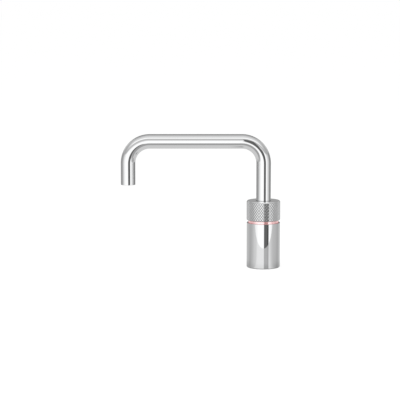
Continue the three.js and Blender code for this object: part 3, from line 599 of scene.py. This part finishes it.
NODE_FINISHES: dict[Slot, Finish] = {
    Slot.CHROME: CHROME,
    Slot.BRASS: TurnedMetal("turned_brass", (0.78, 0.6, 0.3)),
    Slot.STEEL: STEEL,
    Slot.CERAMIC: Ground("ground_ceramic", (0.86, 0.84, 0.79)),
    Slot.BEARING: Moulded("bearing_plastic", (0.8, 0.78, 0.73), 0.42, 3600.0, 0.00001),
    Slot.MOULDING: MOULDING,
    Slot.RUBBER: RUBBER,
    Slot.SILICONE: Moulded("clear_silicone", (0.7, 0.7, 0.67), 0.4, 2400.0, 0.00001, 0.15),
    Slot.BOARD: Printed("board_varnish", (0.02, 0.13, 0.05)),
    Slot.LIT: LIT,
}


# ------------ shapes


def linked(name: str, data: bpy.types.ID) -> bpy.types.Object:
    """Makes an object and links it to the scene.

    Args:
        name: Its name.
        data: Its mesh, light or camera.

    Returns:
        The object.
    """
    made = bpy.data.objects.new(name, data)
    bpy.context.scene.collection.objects.link(made)
    return made


def near(length: float, target: float) -> bool:
    """Says whether a length in metres is a target in millimetres, but for the slack."""
    return abs(length / MM - target) < SLACK


def radius_of(point: Vector, centre: Point = ORIGIN) -> float:
    """Distance in metres of a point from a vertical axis, whose place is in millimetres."""
    return math.hypot(point.x - centre[0] * MM, point.y - centre[1] * MM)


def shifted(x: float, y: float, z: float) -> Matrix:
    """The transform that moves by millimetres."""
    return Matrix.Translation((x * MM, y * MM, z * MM))


class Shape:
    """A mesh in the making, shaped by operators. Every size it is given is in millimetres."""

    def __init__(self) -> None:
        """Starts empty."""
        self.mesh = bmesh.new()

    @classmethod
    def turned(cls, outline: Sequence[Point], steps: int, centre: Point = ORIGIN) -> "Shape":
        """Spins a closed outline round a vertical axis.

        Args:
            outline: Corners as radius and height, in order.
            steps: Faces round the axis.
            centre: The axis's place.

        Returns:
            The closed shape.
        """
        shape = cls()
        x, y = centre
        corners = [shape.mesh.verts.new(((x + r) * MM, y * MM, z * MM)) for r, z in outline]
        sides = [shape.mesh.edges.new(ends) for ends in zip(corners, corners[1:] + corners[:1])]
        shape.spin(corners + sides, FULL_TURN, steps, centre)
        shape.closed_up()
        return shape

    def spin(
        self, parts: list[Corner | Edge], angle: float, steps: int, centre: Point = ORIGIN,
        rise: float = 0.0,
    ) -> None:
        """Spins corners and edges round a vertical axis, level or climbing.

        Args:
            parts: The corners and edges.
            angle: How far, in radians.
            steps: Faces on the way.
            centre: The axis's place.
            rise: How far each step climbs.
        """
        bmesh.ops.spin(
            self.mesh, geom=parts, angle=angle, steps=steps, use_merge=rise == 0.0, use_duplicate=False,
            cent=(centre[0] * MM, centre[1] * MM, 0.0), axis=(0.0, 0.0, 1.0), dvec=(0.0, 0.0, rise * MM),
        )

    def circle(self, radius: float, segments: int, place: Matrix) -> list[Corner]:
        """Adds a circle where a transform puts it, and gives its corners."""
        made = bmesh.ops.create_circle(self.mesh, radius=radius * MM, segments=segments, matrix=place)
        return made["verts"]

    def filled(self) -> list[Face]:
        """Fills the outermost circle round the others, and gives the new faces."""
        made = bmesh.ops.triangle_fill(self.mesh, use_beauty=True, edges=self.mesh.edges)["geom"]
        return [part for part in made if isinstance(part, Face)]

    def _extruded(self, faces: list[Face], closing: bool = False) -> tuple[list[Corner], list[Face]]:
        """Extrudes faces without moving them yet.

        Args:
            faces: The faces.
            closing: Whether they stay, to close the near end.

        Returns:
            The far end's corners and faces.
        """
        made = bmesh.ops.extrude_face_region(self.mesh, geom=faces)["geom"]
        if not closing:
            bmesh.ops.delete(self.mesh, geom=faces, context="FACES_ONLY")
        corners = [part for part in made if isinstance(part, Corner)]
        return corners, [part for part in made if isinstance(part, Face)]

    def pushed(self, faces: list[Face], run: Triple, closing: bool = False) -> list[Face]:
        """Extrudes faces straight on.

        Args:
            faces: The faces.
            run: The way.
            closing: Whether they stay, to close the near end.

        Returns:
            The far end's faces.
        """
        corners, end = self._extruded(faces, closing)
        bmesh.ops.translate(self.mesh, verts=corners, vec=Vector(run) * MM)
        return end

    def bent(self, faces: list[Face], centre: Point, angle: float, steps: int) -> list[Face]:
        """Extrudes faces round a bend that lies in the XZ plane.

        Args:
            faces: The faces.
            centre: The bend's centre as x and height.
            angle: How far, in radians.
            steps: Extrusions on the way.

        Returns:
            The far end's faces.
        """
        about = Vector((centre[0] * MM, 0.0, centre[1] * MM))
        step = Matrix.Rotation(angle / steps, 3, "Y")
        for _ in range(steps):
            corners, faces = self._extruded(faces)
            bmesh.ops.rotate(self.mesh, verts=corners, cent=about, matrix=step)
        return faces

    def closed_up(self) -> None:
        """Merges doubles and turns every face outwards."""
        bmesh.ops.remove_doubles(self.mesh, verts=self.mesh.verts, dist=SAME_POINT)
        bmesh.ops.recalc_face_normals(self.mesh, faces=self.mesh.faces)

    def rims(self, height: float, radius: float | None = None, centre: Point = ORIGIN) -> list[Edge]:
        """Edges at one height that run round a vertical axis.

        Args:
            height: The height.
            radius: Their distance from the axis, or any.
            centre: The axis's place.

        Returns:
            The edges.
        """
        found = []
        for edge in self.mesh.edges:
            first, second = (radius_of(corner.co, centre) for corner in edge.verts)
            level = all(near(corner.co.z, height) for corner in edge.verts)
            if level and near(first, second / MM) and (radius is None or near(first, radius)):
                found.append(edge)
        return found

    def rounded(self, edges: list[Edge], offset: float, segments: int = 3) -> None:
        """Rounds edges over.

        Args:
            edges: The edges.
            offset: How far the rounding reaches.
            segments: Faces across the rounding.
        """
        bmesh.ops.bevel(
            self.mesh, geom=edges, affect="EDGES", offset=offset * MM, offset_type="OFFSET",
            segments=segments, profile=0.5, material=-1, clamp_overlap=True,
        )

    def piece(
        self, name: str, body: Body, slot: Slot, finish: Finish, replaced: Sequence[str] = (),
    ) -> bpy.types.Object:
        """Makes the shape a piece that rides on a body.

        Args:
            name: The piece's name.
            body: The body it rides on.
            slot: The record's slot for the piece; not used.
            finish: Its finish.
            replaced: The CAD nodes that it stands for.

        Returns:
            The object.
        """
        for face in self.mesh.faces:
            face.smooth = True
        data = bpy.data.meshes.new(name)
        self.mesh.to_mesh(data)
        self.mesh.free()
        data.set_sharp_from_angle(angle=SHARP_ANGLE)
        data.materials.append(finish.material())
        made = linked(name, data)
        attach(made, body.value)
        if replaced:
            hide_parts(*replaced)
        shading = made.modifiers.new("even_shading", "WEIGHTED_NORMAL")
        shading.mode = "FACE_AREA"
        shading.weight = 100
        shading.keep_sharp = True
        LOG.info("%s: %d faces on %s", name, len(data.polygons), body.value)
        return made


# ------------ sub-assemblies


@dataclass(frozen=True)
class Column:
    """The round casing on the worktop and the lit ring on top of it, in millimetres."""

    radius: float = 23.0
    height: float = 62.5
    wall: float = 2.0
    base_chamfer: float = 0.8
    base_rounding: float = 0.25
    rim_rounding: float = 0.3
    ledge_bore: float = 17.5
    ledge_floor: float = 9.3
    ledge_top: float = 11.3
    ring_outer: float = 20.7
    ring_head_bore: float = 19.2
    ring_foot_bore: float = 17.6
    ring_floor: float = 58.9
    ring_top: float = 67.8
    steps: int = 160

    def casing(self) -> None:
        """Makes the chrome casing."""
        bore = self.radius - self.wall
        shape = Shape.turned([
            (bore, 0.0), (self.radius - self.base_chamfer, 0.0), (self.radius, self.base_chamfer),
            (self.radius, self.height), (bore, self.height),
            (bore, self.ledge_top), (self.ledge_bore, self.ledge_top),
            (self.ledge_bore, self.ledge_floor), (bore, self.ledge_floor),
        ], self.steps)
        shape.rounded(shape.rims(self.height), self.rim_rounding)
        shape.rounded(shape.rims(self.base_chamfer), self.base_rounding, segments=2)
        shape.piece("casing", Body.COLUMN, Slot.CHROME, CASING_CHROME, ["body_sleeve"])

    def lit_ring(self) -> None:
        """Makes the frosted ring between the casing and the knob."""
        shape = Shape.turned([
            (self.ring_foot_bore, self.ring_floor), (self.ring_outer, self.ring_floor),
            (self.ring_outer, self.ring_top), (self.ring_head_bore, self.ring_top),
            (self.ring_head_bore, self.height), (self.ring_foot_bore, self.height),
        ], self.steps)
        shape.rounded(shape.rims(self.ring_top), self.rim_rounding)
        shape.piece("lit_ring", Body.COLUMN, Slot.LIT, LIT, ["light_ring"])

    def build(self) -> None:
        """Builds the column's pieces."""
        self.casing()
        self.lit_ring()


@dataclass(frozen=True)
class Knob:
    """The ring knob: a knurled wall, a rounded top edge and a flat top round the spout.

    Sizes are in millimetres, and the crown's corners go by how far in and up they are.
    """

    radius: float = 23.25
    floor: float = 66.0
    height: float = 27.0
    wall: float = 2.0
    top_thickness: float = 2.2
    hole: float = 10.4
    hole_rounding: float = 0.3
    foot_chamfer: float = 0.4
    crown_height: float = 1.0
    crown_edge: tuple[Point, ...] = (
        (0.03, 0.1), (0.43, 0.72), (0.57, 0.86), (0.78, 0.97), (1.0, 1.0),
    )
    knurl_depth: float = 0.45
    knurl_rows: int = 12
    diamonds: int = 42
    groove: float = 0.5
    swell: float = 0.03

    @property
    def top(self) -> float:
        """Height of the knob's flat top."""
        return self.floor + self.height

    @property
    def valley(self) -> float:
        """Radius at the bottom of the grooves."""
        return self.radius - self.knurl_depth

    @property
    def knurl(self) -> Span:
        """Heights between which the wall is knurled."""
        return self.floor + self.foot_chamfer, self.top - self.crown_height

    def outline(self) -> list[Point]:
        """The section before the knurl is cut.

        Returns:
            Corners as radius and height.
        """
        bore = self.radius - self.wall
        ceiling = self.top - self.top_thickness
        low, high = self.knurl
        rows = range(self.knurl_rows + 1)
        return [
            (bore, self.floor),
            (self.valley - self.foot_chamfer, self.floor),
            *((self.valley, low + (high - low) * row / self.knurl_rows) for row in rows),
            *((self.valley - inset, high + rise) for inset, rise in self.crown_edge),
            (self.hole, self.top),
            (self.hole, ceiling),
            (bore, ceiling),
        ]

    def build(self) -> None:
        """Makes the knurled knob."""
        shape = Shape.turned(self.outline(), 2 * self.diamonds)
        self._cut_knurl(shape.mesh)
        shape.rounded(shape.rims(self.top, self.hole), self.hole_rounding)
        shape.closed_up()
        shape.piece("knurled_knob", Body.KNOB, Slot.CHROME, KNURL_CHROME, ["knob"])

    def _grid(self, mesh: bmesh.types.BMesh) -> tuple[set[Corner], set[Corner], set[Corner]]:
        """Sorts the corners of the wall's grid like the fields of a chequerboard.

        Args:
            mesh: The turned knob.

        Returns:
            Those in the middle of diamonds, those where grooves meet, and those of the
            first kind that are in the top or bottom row.
        """
        low, high = self.knurl
        pitch = (high - low) / self.knurl_rows
        crests, grooves, rims = set(), set(), set()
        for corner in mesh.verts:
            row = round((corner.co.z / MM - low) / pitch)
            on_wall = near(corner.co.z, low + row * pitch) and near(radius_of(corner.co), self.valley)
            if not on_wall or not 0 <= row <= self.knurl_rows:
                continue
            column = round(math.atan2(corner.co.y, corner.co.x) / FULL_TURN * 2 * self.diamonds)
            (crests if (row + column) % 2 else grooves).add(corner)
            if row in (0, self.knurl_rows):
                rims.add(corner)
        return crests, grooves, crests & rims

    def _cut_knurl(self, mesh: bmesh.types.BMesh) -> None:
        """Turns the wall's grid into diamonds and raises each one's flat between V grooves.

        Args:
            mesh: The turned knob, whose wall stands at the grooves' radius.
        """
        crests, grooves, rims = self._grid(mesh)
        low, high = self.knurl
        half_row = (high - low) / self.knurl_rows / 2 * MM
        wall = crests | grooves
        for face in list(mesh.faces):
            if len(face.verts) == 4 and wall.issuperset(face.verts):
                bmesh.utils.face_split(face, *[v for v in face.verts if v in grooves])
        spokes = [
            edge for rim in rims for edge in rim.link_edges
            if edge.other_vert(rim) in grooves and abs(edge.other_vert(rim).co.z - rim.co.z) > half_row
        ]
        bmesh.ops.dissolve_edges(mesh, edges=spokes, use_verts=False)
        bmesh.ops.dissolve_verts(mesh, verts=list(crests - rims))
        outer = grooves | rims
        diamonds = [f for f in mesh.faces if len(f.verts) == 4 and outer.issuperset(f.verts)]
        bmesh.ops.inset_individual(
            mesh, faces=diamonds, thickness=self.groove * MM, depth=self.knurl_depth * MM,
            use_even_offset=True,
        )
        bmesh.ops.poke(mesh, faces=diamonds, offset=self.swell * MM, center_mode="MEAN")


@dataclass(frozen=True)
class Spring:
    """The wound spring under the knob, in millimetres; built at one length, not shortened by the knob's
    push.
    """

    wire: float = 1.0
    pitch: float = 2.2
    travel: float = 2.5
    steps_per_turn: int = 28
    sides: int = 12

    def build(self) -> None:
        """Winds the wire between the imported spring's two ends."""
        low, high = ([number / MM for number in corner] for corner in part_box("return_spring"))
        height = high[2] - low[2]
        rise = height - self.wire
        turns = rise / self.pitch
        steps = round(turns * self.steps_per_turn)
        start = shifted(high[0] - self.wire / 2, 0.0, low[2] + self.wire / 2)
        shape = Shape()
        end = shape.circle(self.wire / 2, self.sides, start @ Matrix.Rotation(QUARTER_TURN, 4, "X"))
        shape.spin(end + list(shape.mesh.edges), turns * FULL_TURN, steps, rise=rise / steps)
        ends = [edge for edge in shape.mesh.edges if edge.is_boundary]
        bmesh.ops.holes_fill(shape.mesh, edges=ends, sides=self.sides)
        shape.closed_up()
        coil = shape.piece("spring_coil", Body.DRIVE, Slot.STEEL, STEEL, ["return_spring"])
        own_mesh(coil)


@dataclass(frozen=True)
class Outlet:
    """The insert in the spout's end: a notched black housing and a plate of fine holes.

    Sizes are in millimetres, and radii are from the outlet's own axis.
    """

    reach: float = 187.0
    floor: float = 115.6
    radius: float = 8.5
    edge: float = 0.25
    cup: float = 6.9
    lip: float = 6.1
    lip_height: float = 0.4
    web_floor: float = 120.3
    web_top: float = 123.3
    seal_groove: float = 7.0
    groove_floor: float = 120.9
    groove_top: float = 122.7
    nipple: float = 2.5
    nipple_top: float = 131.3
    waterway: float = 1.7
    steps: int = 96
    notches: int = 6
    notch_steps: int = 3
    notch_depth: float = 0.3
    plate_radius: float = 6.6
    plate_floor: float = 116.3
    plate_thickness: float = 1.0
    hole: float = 0.55
    hole_steps: int = 16
    hole_rings: int = 2
    holes_in_first: int = 6

    def housing(self) -> None:
        """Makes the black housing, whose rim has notches for a key."""
        middle = (self.lip + self.radius) / 2
        shape = Shape.turned([
            (self.lip, self.floor), (middle, self.floor), (self.radius - self.edge, self.floor),
            (self.radius, self.floor + self.edge),
            (self.radius, self.groove_floor), (self.seal_groove, self.groove_floor),
            (self.seal_groove, self.groove_top), (self.radius, self.groove_top),
            (self.radius, self.web_top), (self.nipple, self.web_top),
            (self.nipple, self.nipple_top), (self.waterway, self.nipple_top),
            (self.waterway, self.web_floor), (self.cup, self.web_floor),
            (self.cup, self.floor + self.lip_height), (self.lip, self.floor + self.lip_height),
        ], self.steps, (-self.reach, 0.0))
        notched = []
        for corner in shape.mesh.verts:
            x, y = corner.co.x / MM + self.reach, corner.co.y / MM
            column = round(math.atan2(y, x) / FULL_TURN * self.steps) % (self.steps // self.notches)
            on_rim = near(corner.co.z, self.floor) and math.hypot(x, y) < middle + SLACK
            if on_rim and column < self.notch_steps:
                notched.append(corner)
        bmesh.ops.translate(shape.mesh, verts=notched, vec=(0.0, 0.0, self.notch_depth * MM))
        shape.piece("outlet_insert", Body.SPOUT, Slot.MOULDING, MOULDING, ["outlet_housing"])

    def holes(self) -> list[Point]:
        """Where the plate's holes are: one in the middle and rings of more round it.

        Returns:
            Their places from the plate's centre.
        """
        pitch = self.plate_radius / (self.hole_rings + 0.5)
        places = [(0.0, 0.0)]
        for ring in range(1, self.hole_rings + 1):
            count = self.holes_in_first * ring
            turns = [FULL_TURN * i / count for i in range(count)]
            places += [(ring * pitch * math.cos(turn), ring * pitch * math.sin(turn)) for turn in turns]
        return places

    def plate(self) -> None:
        """Makes the plate, filled round its holes and extruded."""
        shape = Shape()
        shape.circle(self.plate_radius, self.steps, shifted(-self.reach, 0.0, self.plate_floor))
        for x, y in self.holes():
            shape.circle(self.hole, self.hole_steps, shifted(x - self.reach, y, self.plate_floor))
        shape.pushed(shape.filled(), (0.0, 0.0, self.plate_thickness), closing=True)
        shape.closed_up()
        shape.piece("outlet_plate", Body.SPOUT, Slot.STEEL, STEEL, ["flow_plate"])

    def build(self) -> None:
        """Builds the outlet's pieces."""
        self.housing()
        self.plate()


@dataclass(frozen=True)
class Spout:
    """The bent spout tube and the thin black ring round its foot, in millimetres."""

    radius: float = 10.0
    wall: float = 1.2
    floor: float = 75.5
    height: float = 175.0
    reach: float = 187.0
    bend: float = 30.0
    outlet: float = 115.0
    sides: int = 96
    bend_steps: int = 28
    lip_rounding: float = 0.25
    foot_ring_overlap: float = 0.1
    foot_ring_width: float = 0.34
    foot_ring_floor: float = 92.0
    foot_ring_height: float = 1.24
    foot_ring_chamfer: Point = (0.12, 0.15)

    def tube(self) -> None:
        """Makes the chrome tube, extruded along its straights and round its bends."""
        turn_height = self.height - self.bend
        shape = Shape()
        for radius in (self.radius, self.radius - self.wall):
            shape.circle(radius, self.sides, shifted(0.0, 0.0, self.floor))
        end = bmesh.ops.bridge_loops(shape.mesh, edges=shape.mesh.edges)["faces"]
        end = shape.pushed(end, (0.0, 0.0, turn_height - self.floor), closing=True)
        end = shape.bent(end, (-self.bend, turn_height), -QUARTER_TURN, self.bend_steps)
        end = shape.pushed(end, (2 * self.bend - self.reach, 0.0, 0.0))
        end = shape.bent(end, (self.bend - self.reach, turn_height), -QUARTER_TURN, self.bend_steps)
        shape.pushed(end, (0.0, 0.0, self.outlet - turn_height))
        shape.closed_up()
        shape.rounded(shape.rims(self.outlet, centre=(-self.reach, 0.0)), self.lip_rounding)
        shape.piece("spout_pipe", Body.SPOUT, Slot.CHROME, CHROME, ["spout_tube"])

    def dark_foot_ring(self) -> None:
        """Makes the thin black ring round the tube's foot, in the knob's hole and just above it."""
        inner = self.radius - self.foot_ring_overlap
        outer = self.radius + self.foot_ring_width
        top = self.foot_ring_floor + self.foot_ring_height
        across, down = self.foot_ring_chamfer
        shape = Shape.turned([
            (inner, self.foot_ring_floor), (outer, self.foot_ring_floor),
            (outer, top - down), (outer - across, top), (inner, top),
        ], self.sides)
        shape.piece("dark_foot_ring", Body.SPOUT, Slot.RUBBER, RUBBER)

    def build(self) -> None:
        """Builds the spout's pieces."""
        self.tube()
        self.dark_foot_ring()


# ------------ studio


def share_of_turn(aside: Value, back: Value) -> Value:
    """An angle from the front as a share of a turn, with the front at half."""
    return aside.angle_from(-back) / FULL_TURN + 0.5


def brightness(turn: Value, stops: Stops) -> Value:
    """Brightness over the white panels' own, by stops in degrees from the front."""
    return turn.ramp([((angle + 180) / 360, level / PANEL_WHITE) for angle, level in stops])


def looking(direction: Vector) -> Euler:
    """Rotation of a lamp or a camera that looks in a direction."""
    return direction.to_track_quat("-Z", "Y").to_euler()


@dataclass(frozen=True)
class Surroundings:
    """The room: white to the camera, panels and strips to chrome, soft light to the rest.

    The ramps give brightness by degrees from the front, round the tap and over it. Spans
    are of the direction's X, Y or Z, but for the strip's sides, which are degrees too.
    """

    around: Stops = (
        (-180, 0.36), (-150, 0.34), (-118, 0.31), (-103, 0.34), (-88, 0.5), (-80, 0.56),
        (-66, 0.81), (-50, 0.98), (-43, 1.02), (-40, 1.08), (1.6, 1.08), (3.6, 0.127),
        (25, 0.127), (28, 0.063), (34.4, 0.063), (36.4, 1.08), (50, 1.02), (66, 0.79),
        (76, 0.67), (89, 0.53), (98, 0.42), (108, 0.27), (120, 0.2), (140, 0.28), (180, 0.36),
    )
    over: Stops = (
        (-180, 0.45), (0, 1.08), (8, 1.05), (18, 0.78), (24, 0.64), (34, 0.52), (46, 0.52),
        (51, 1.0), (55, 1.08), (64, 1.08), (68, 0.74), (88, 0.74), (100, 0.6), (111, 0.5),
        (141, 0.36), (150, 0.12), (180, 0.08),
    )
    over_from: Span = (0.17, 0.28)
    back_from: Span = (0.3, 0.8)
    back_rise: Span = (0.0, 0.08)
    back_grey: float = 0.33
    aside_from: Span = (0.6, 0.98)
    aside_grey: float = 0.39
    strip_sides: Span = (3.6, 28.0)
    strip_end: Span = (0.52, 0.62)
    strip_grey: float = 0.11
    corner_from: Span = (0.35, 0.7)
    corner_aside: Span = (0.3, 0.55)
    corner_rise: Span = (0.15, 0.22)
    corner_grey: float = 0.58

    def shown(self, graph: Graph, direction: Value) -> Value:
        """What chrome shows, by direction.

        Args:
            graph: The graph to add to.
            direction: The direction looked in.

        Returns:
            The brightness over that of the white panels.
        """
        x, y, z = graph.axes(direction)
        aside = abs(x)
        turn = share_of_turn(x, y)
        low = brightness(turn, self.around)
        back = y.eased(*self.back_from) * z.eased(*self.back_rise)
        low = graph.blend(back, low, grey(self.back_grey))
        high = brightness(share_of_turn(z, y), self.over)
        high = graph.blend(aside.eased(*self.aside_from), high, grey(self.aside_grey))
        left, right = (angle / 360 + 0.5 for angle in self.strip_sides)
        strip = (turn > left) * (turn < right) * (1.0 - z.eased(*self.strip_end))
        high = graph.blend(strip, high, grey(self.strip_grey))
        room = graph.blend(z.eased(*self.over_from), low, high)
        corners = y.eased(*self.corner_from) * aside.eased(*self.corner_aside)
        return graph.blend(corners * z.eased(*self.corner_rise), room, grey(self.corner_grey))

    def build(self) -> None:
        """Makes the world."""
        world = bpy.data.worlds.new("studio")
        world.use_nodes = True
        bpy.context.scene.world = world
        graph = Graph(world.node_tree)
        path = graph.node("ShaderNodeLightPath")
        glossy = path.output("Is Glossy Ray")
        seen = path.output("Is Camera Ray").at_least(path.output("Is Transmission Ray"))
        shown = graph.blend(glossy, WHITE, self.shown(graph, graph.node("ShaderNodeTexCoord")))
        inputs = {
            "Color": graph.blend(seen, shown, WHITE),
            "Strength": glossy * (1.0 - seen) * (PANEL_WHITE - 1.0) + 1.0,
        }
        background = graph.node("ShaderNodeBackground", inputs)
        graph.node("ShaderNodeOutputWorld", {"Surface": background})


@dataclass(frozen=True)
class Table:
    """The pale table, which ends in front of the tap for what chrome shows of it.

    Lengths are in metres. The ramp gives brightness by degrees from the front, and the
    spans of slant go from a ray that comes straight down to one that grazes the table.
    """

    radius: float = 9.0
    segments: int = 96
    own_light: float = 0.86
    around: Stops = (
        (-180, 0.68), (-147, 0.68), (-114, 0.57), (-92, 0.45), (-65, 0.51), (-49, 0.47),
        (-42, 0.67), (0, 0.68), (15, 0.68), (30, 0.63), (43, 0.45), (55, 0.36), (66, 0.37),
        (92, 0.49), (115, 0.55), (148, 0.71), (180, 0.68),
    )
    shadow: Span = (0.03, 0.08)
    shadow_share: float = 0.8
    slanted: Span = (0.55, 0.75)
    mirror: float = 0.41
    mirror_roughness: float = 0.02
    front_edge: Span = (-0.133, -0.113)
    front_grey: float = 0.33
    back_grey: float = 0.58
    # painted shadow round the tap's foot, as chrome sees the grazed table
    foot: Span = (0.025, 0.05)
    foot_shadow_grey: float = 0.25
    end: float = -0.197
    end_slanted: Span = (0.78, 0.82)
    last: Span = (-0.45, -0.31)
    reach: float = 0.65

    def shown(self, graph: Graph) -> tuple[Value, Value, Value]:
        """What chrome shows of the table.

        Args:
            graph: The table's graph.

        Returns:
            Its brightness over that of the white panels, its share of mirror, and one
            where it has ended.
        """
        x, y, _ = graph.axes(graph.place())
        out = x.length_with(y)
        facing = graph.node("ShaderNodeLayerWeight", {"Blend": 0.5}).output("Facing")
        slant = facing.eased(*self.slanted)
        steep = brightness(share_of_turn(x, y), self.around)
        shadow = graph.stretched(steep, grey(self.shadow_share))
        steep = graph.blend(out.eased(*self.shadow), shadow, steep)
        shallow = graph.blend(y.eased(*self.front_edge), grey(self.front_grey), grey(self.back_grey))
        # painted shadow: darker near the tap's foot
        shallow = graph.blend(out.eased(*self.foot), grey(self.foot_shadow_grey), shallow)
        ended = (y < self.end) * facing.eased(*self.end_slanted)
        ended = ended.at_least(out > self.reach).at_least(1.0 - y.eased(*self.last))
        return graph.blend(slant, shallow, steep), slant * self.mirror, ended

    def material(self) -> bpy.types.Material:
        """The table's look to the camera, to chrome and to the light.

        Returns:
            The material.
        """
        made = bpy.data.materials.new("pale_floor")
        made.use_nodes = True
        graph = Graph(made.node_tree)
        path = graph.node("ShaderNodeLightPath")
        shown, mirrored, ended = self.shown(graph)
        # painted light: what chrome shows of the table is an emission, its painted shadows included
        painted_table_light = graph.node("ShaderNodeEmission", {"Color": shown, "Strength": PANEL_WHITE})
        inputs = {"Color": WHITE, "Roughness": self.mirror_roughness}
        gloss = graph.node("ShaderNodeBsdfGlossy", inputs)
        clear = graph.node("ShaderNodeBsdfTransparent")
        table = graph.either(ended, graph.either(mirrored, painted_table_light, gloss), clear)
        pale = graph.node("ShaderNodeBsdfDiffuse", {"Color": WHITE})
        white = graph.node("ShaderNodeEmission", {"Color": WHITE, "Strength": 1.0})
        others = graph.either(path.output("Is Glossy Ray"), pale, table)
        seen = graph.either(self.own_light, pale, white)
        mixed = graph.either(path.output("Is Camera Ray"), others, seen)
        graph.node("ShaderNodeOutputMaterial", {"Surface": mixed})
        return made

    def build(self) -> None:
        """Makes the table: a disc with its material."""
        mesh = bmesh.new()
        bmesh.ops.create_circle(mesh, cap_ends=True, radius=self.radius, segments=self.segments)
        data = bpy.data.meshes.new("floor")
        mesh.to_mesh(data)
        mesh.free()
        data.materials.append(self.material())
        floor = linked("floor", data)


@dataclass(frozen=True)
class Lamp:
    """A soft round lamp that chrome doesn't show. Lengths are in metres, power in watts."""

    name: str
    place: Triple
    size: float
    power: float

    def build(self, aim: Vector) -> None:
        """Sets the lamp up.

        Args:
            aim: The point it faces.
        """
        data = bpy.data.lights.new(self.name, "AREA")
        data.shape = "DISK"
        data.size = self.size
        data.energy = self.power
        lamp = linked(self.name, data)
        lamp.location = self.place
        lamp.rotation_euler = looking(aim - Vector(self.place))
        lamp.visible_glossy = False


@dataclass(frozen=True)
class Camera:
    """The camera at the photograph's angle. Lengths are in metres, lens and sensor in mm."""

    distance: float = 2.5
    elevation: float = 8.0
    lens: float = 162.7
    sensor: float = 36.0
    clip: Span = (0.05, 50.0)

    def build(self, aim: Vector) -> None:
        """Sets the camera up.

        Args:
            aim: The point it looks at.
        """
        data = bpy.data.cameras.new("camera")
        data.lens = self.lens
        data.sensor_width = self.sensor
        data.clip_start, data.clip_end = self.clip
        camera = linked("camera", data)
        rise = math.radians(self.elevation)
        away = Vector((0.0, -math.cos(rise), math.sin(rise))) * self.distance
        camera.location = aim + away
        camera.rotation_euler = looking(-away)
        bpy.context.scene.camera = camera


@dataclass(frozen=True)
class Studio:
    """The surroundings, the table, two lamps and the camera."""

    aim: Triple = (-0.08775, 0.0, 0.0935)
    lamps: tuple[Lamp, ...] = (
        Lamp("key_lamp", (-1.1, -1.4, 1.5), 1.2, 22.0),
        Lamp("fill_lamp", (1.3, -0.9, 1.1), 1.4, 10.0),
    )

    def build(self) -> None:
        """Sets the studio up."""
        bpy.context.scene.view_settings.view_transform = "Standard"
        aim = Vector(self.aim)
        Surroundings().build()
        Table().build()
        for lamp in self.lamps:
            lamp.build(aim)
        Camera().build(aim)


# ------------ the tap


def dress(frame: dict[str, object]) -> None:
    """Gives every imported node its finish.
    """
    slots = {row["node"]: Slot(row["material_slot"]) for row in frame["record"]["subparts"]}
    for name, node in frame["nodes"].items():
        node.data.materials.clear()
        node.data.materials.append(NODE_FINISHES[slots[name]].material())
    LOG.info("dressed %d packed nodes", len(slots))


def corners(bounds: Sequence[Sequence[float]]) -> list[list[float]]:
    """A box's two corners as plain lists of numbers."""
    return [[float(number) for number in corner] for corner in bounds]


def main() -> None:
    """Builds the tap's looks in order."""
    logging.basicConfig(level=logging.INFO, format="%(name)s: %(message)s")
    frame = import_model()
    Studio().build()
    dress(frame)
    Column().build()
    Spring().build()
    Knob().build()
    Spout().build()
    Outlet().build()


if __name__ == "__main__":
    main()
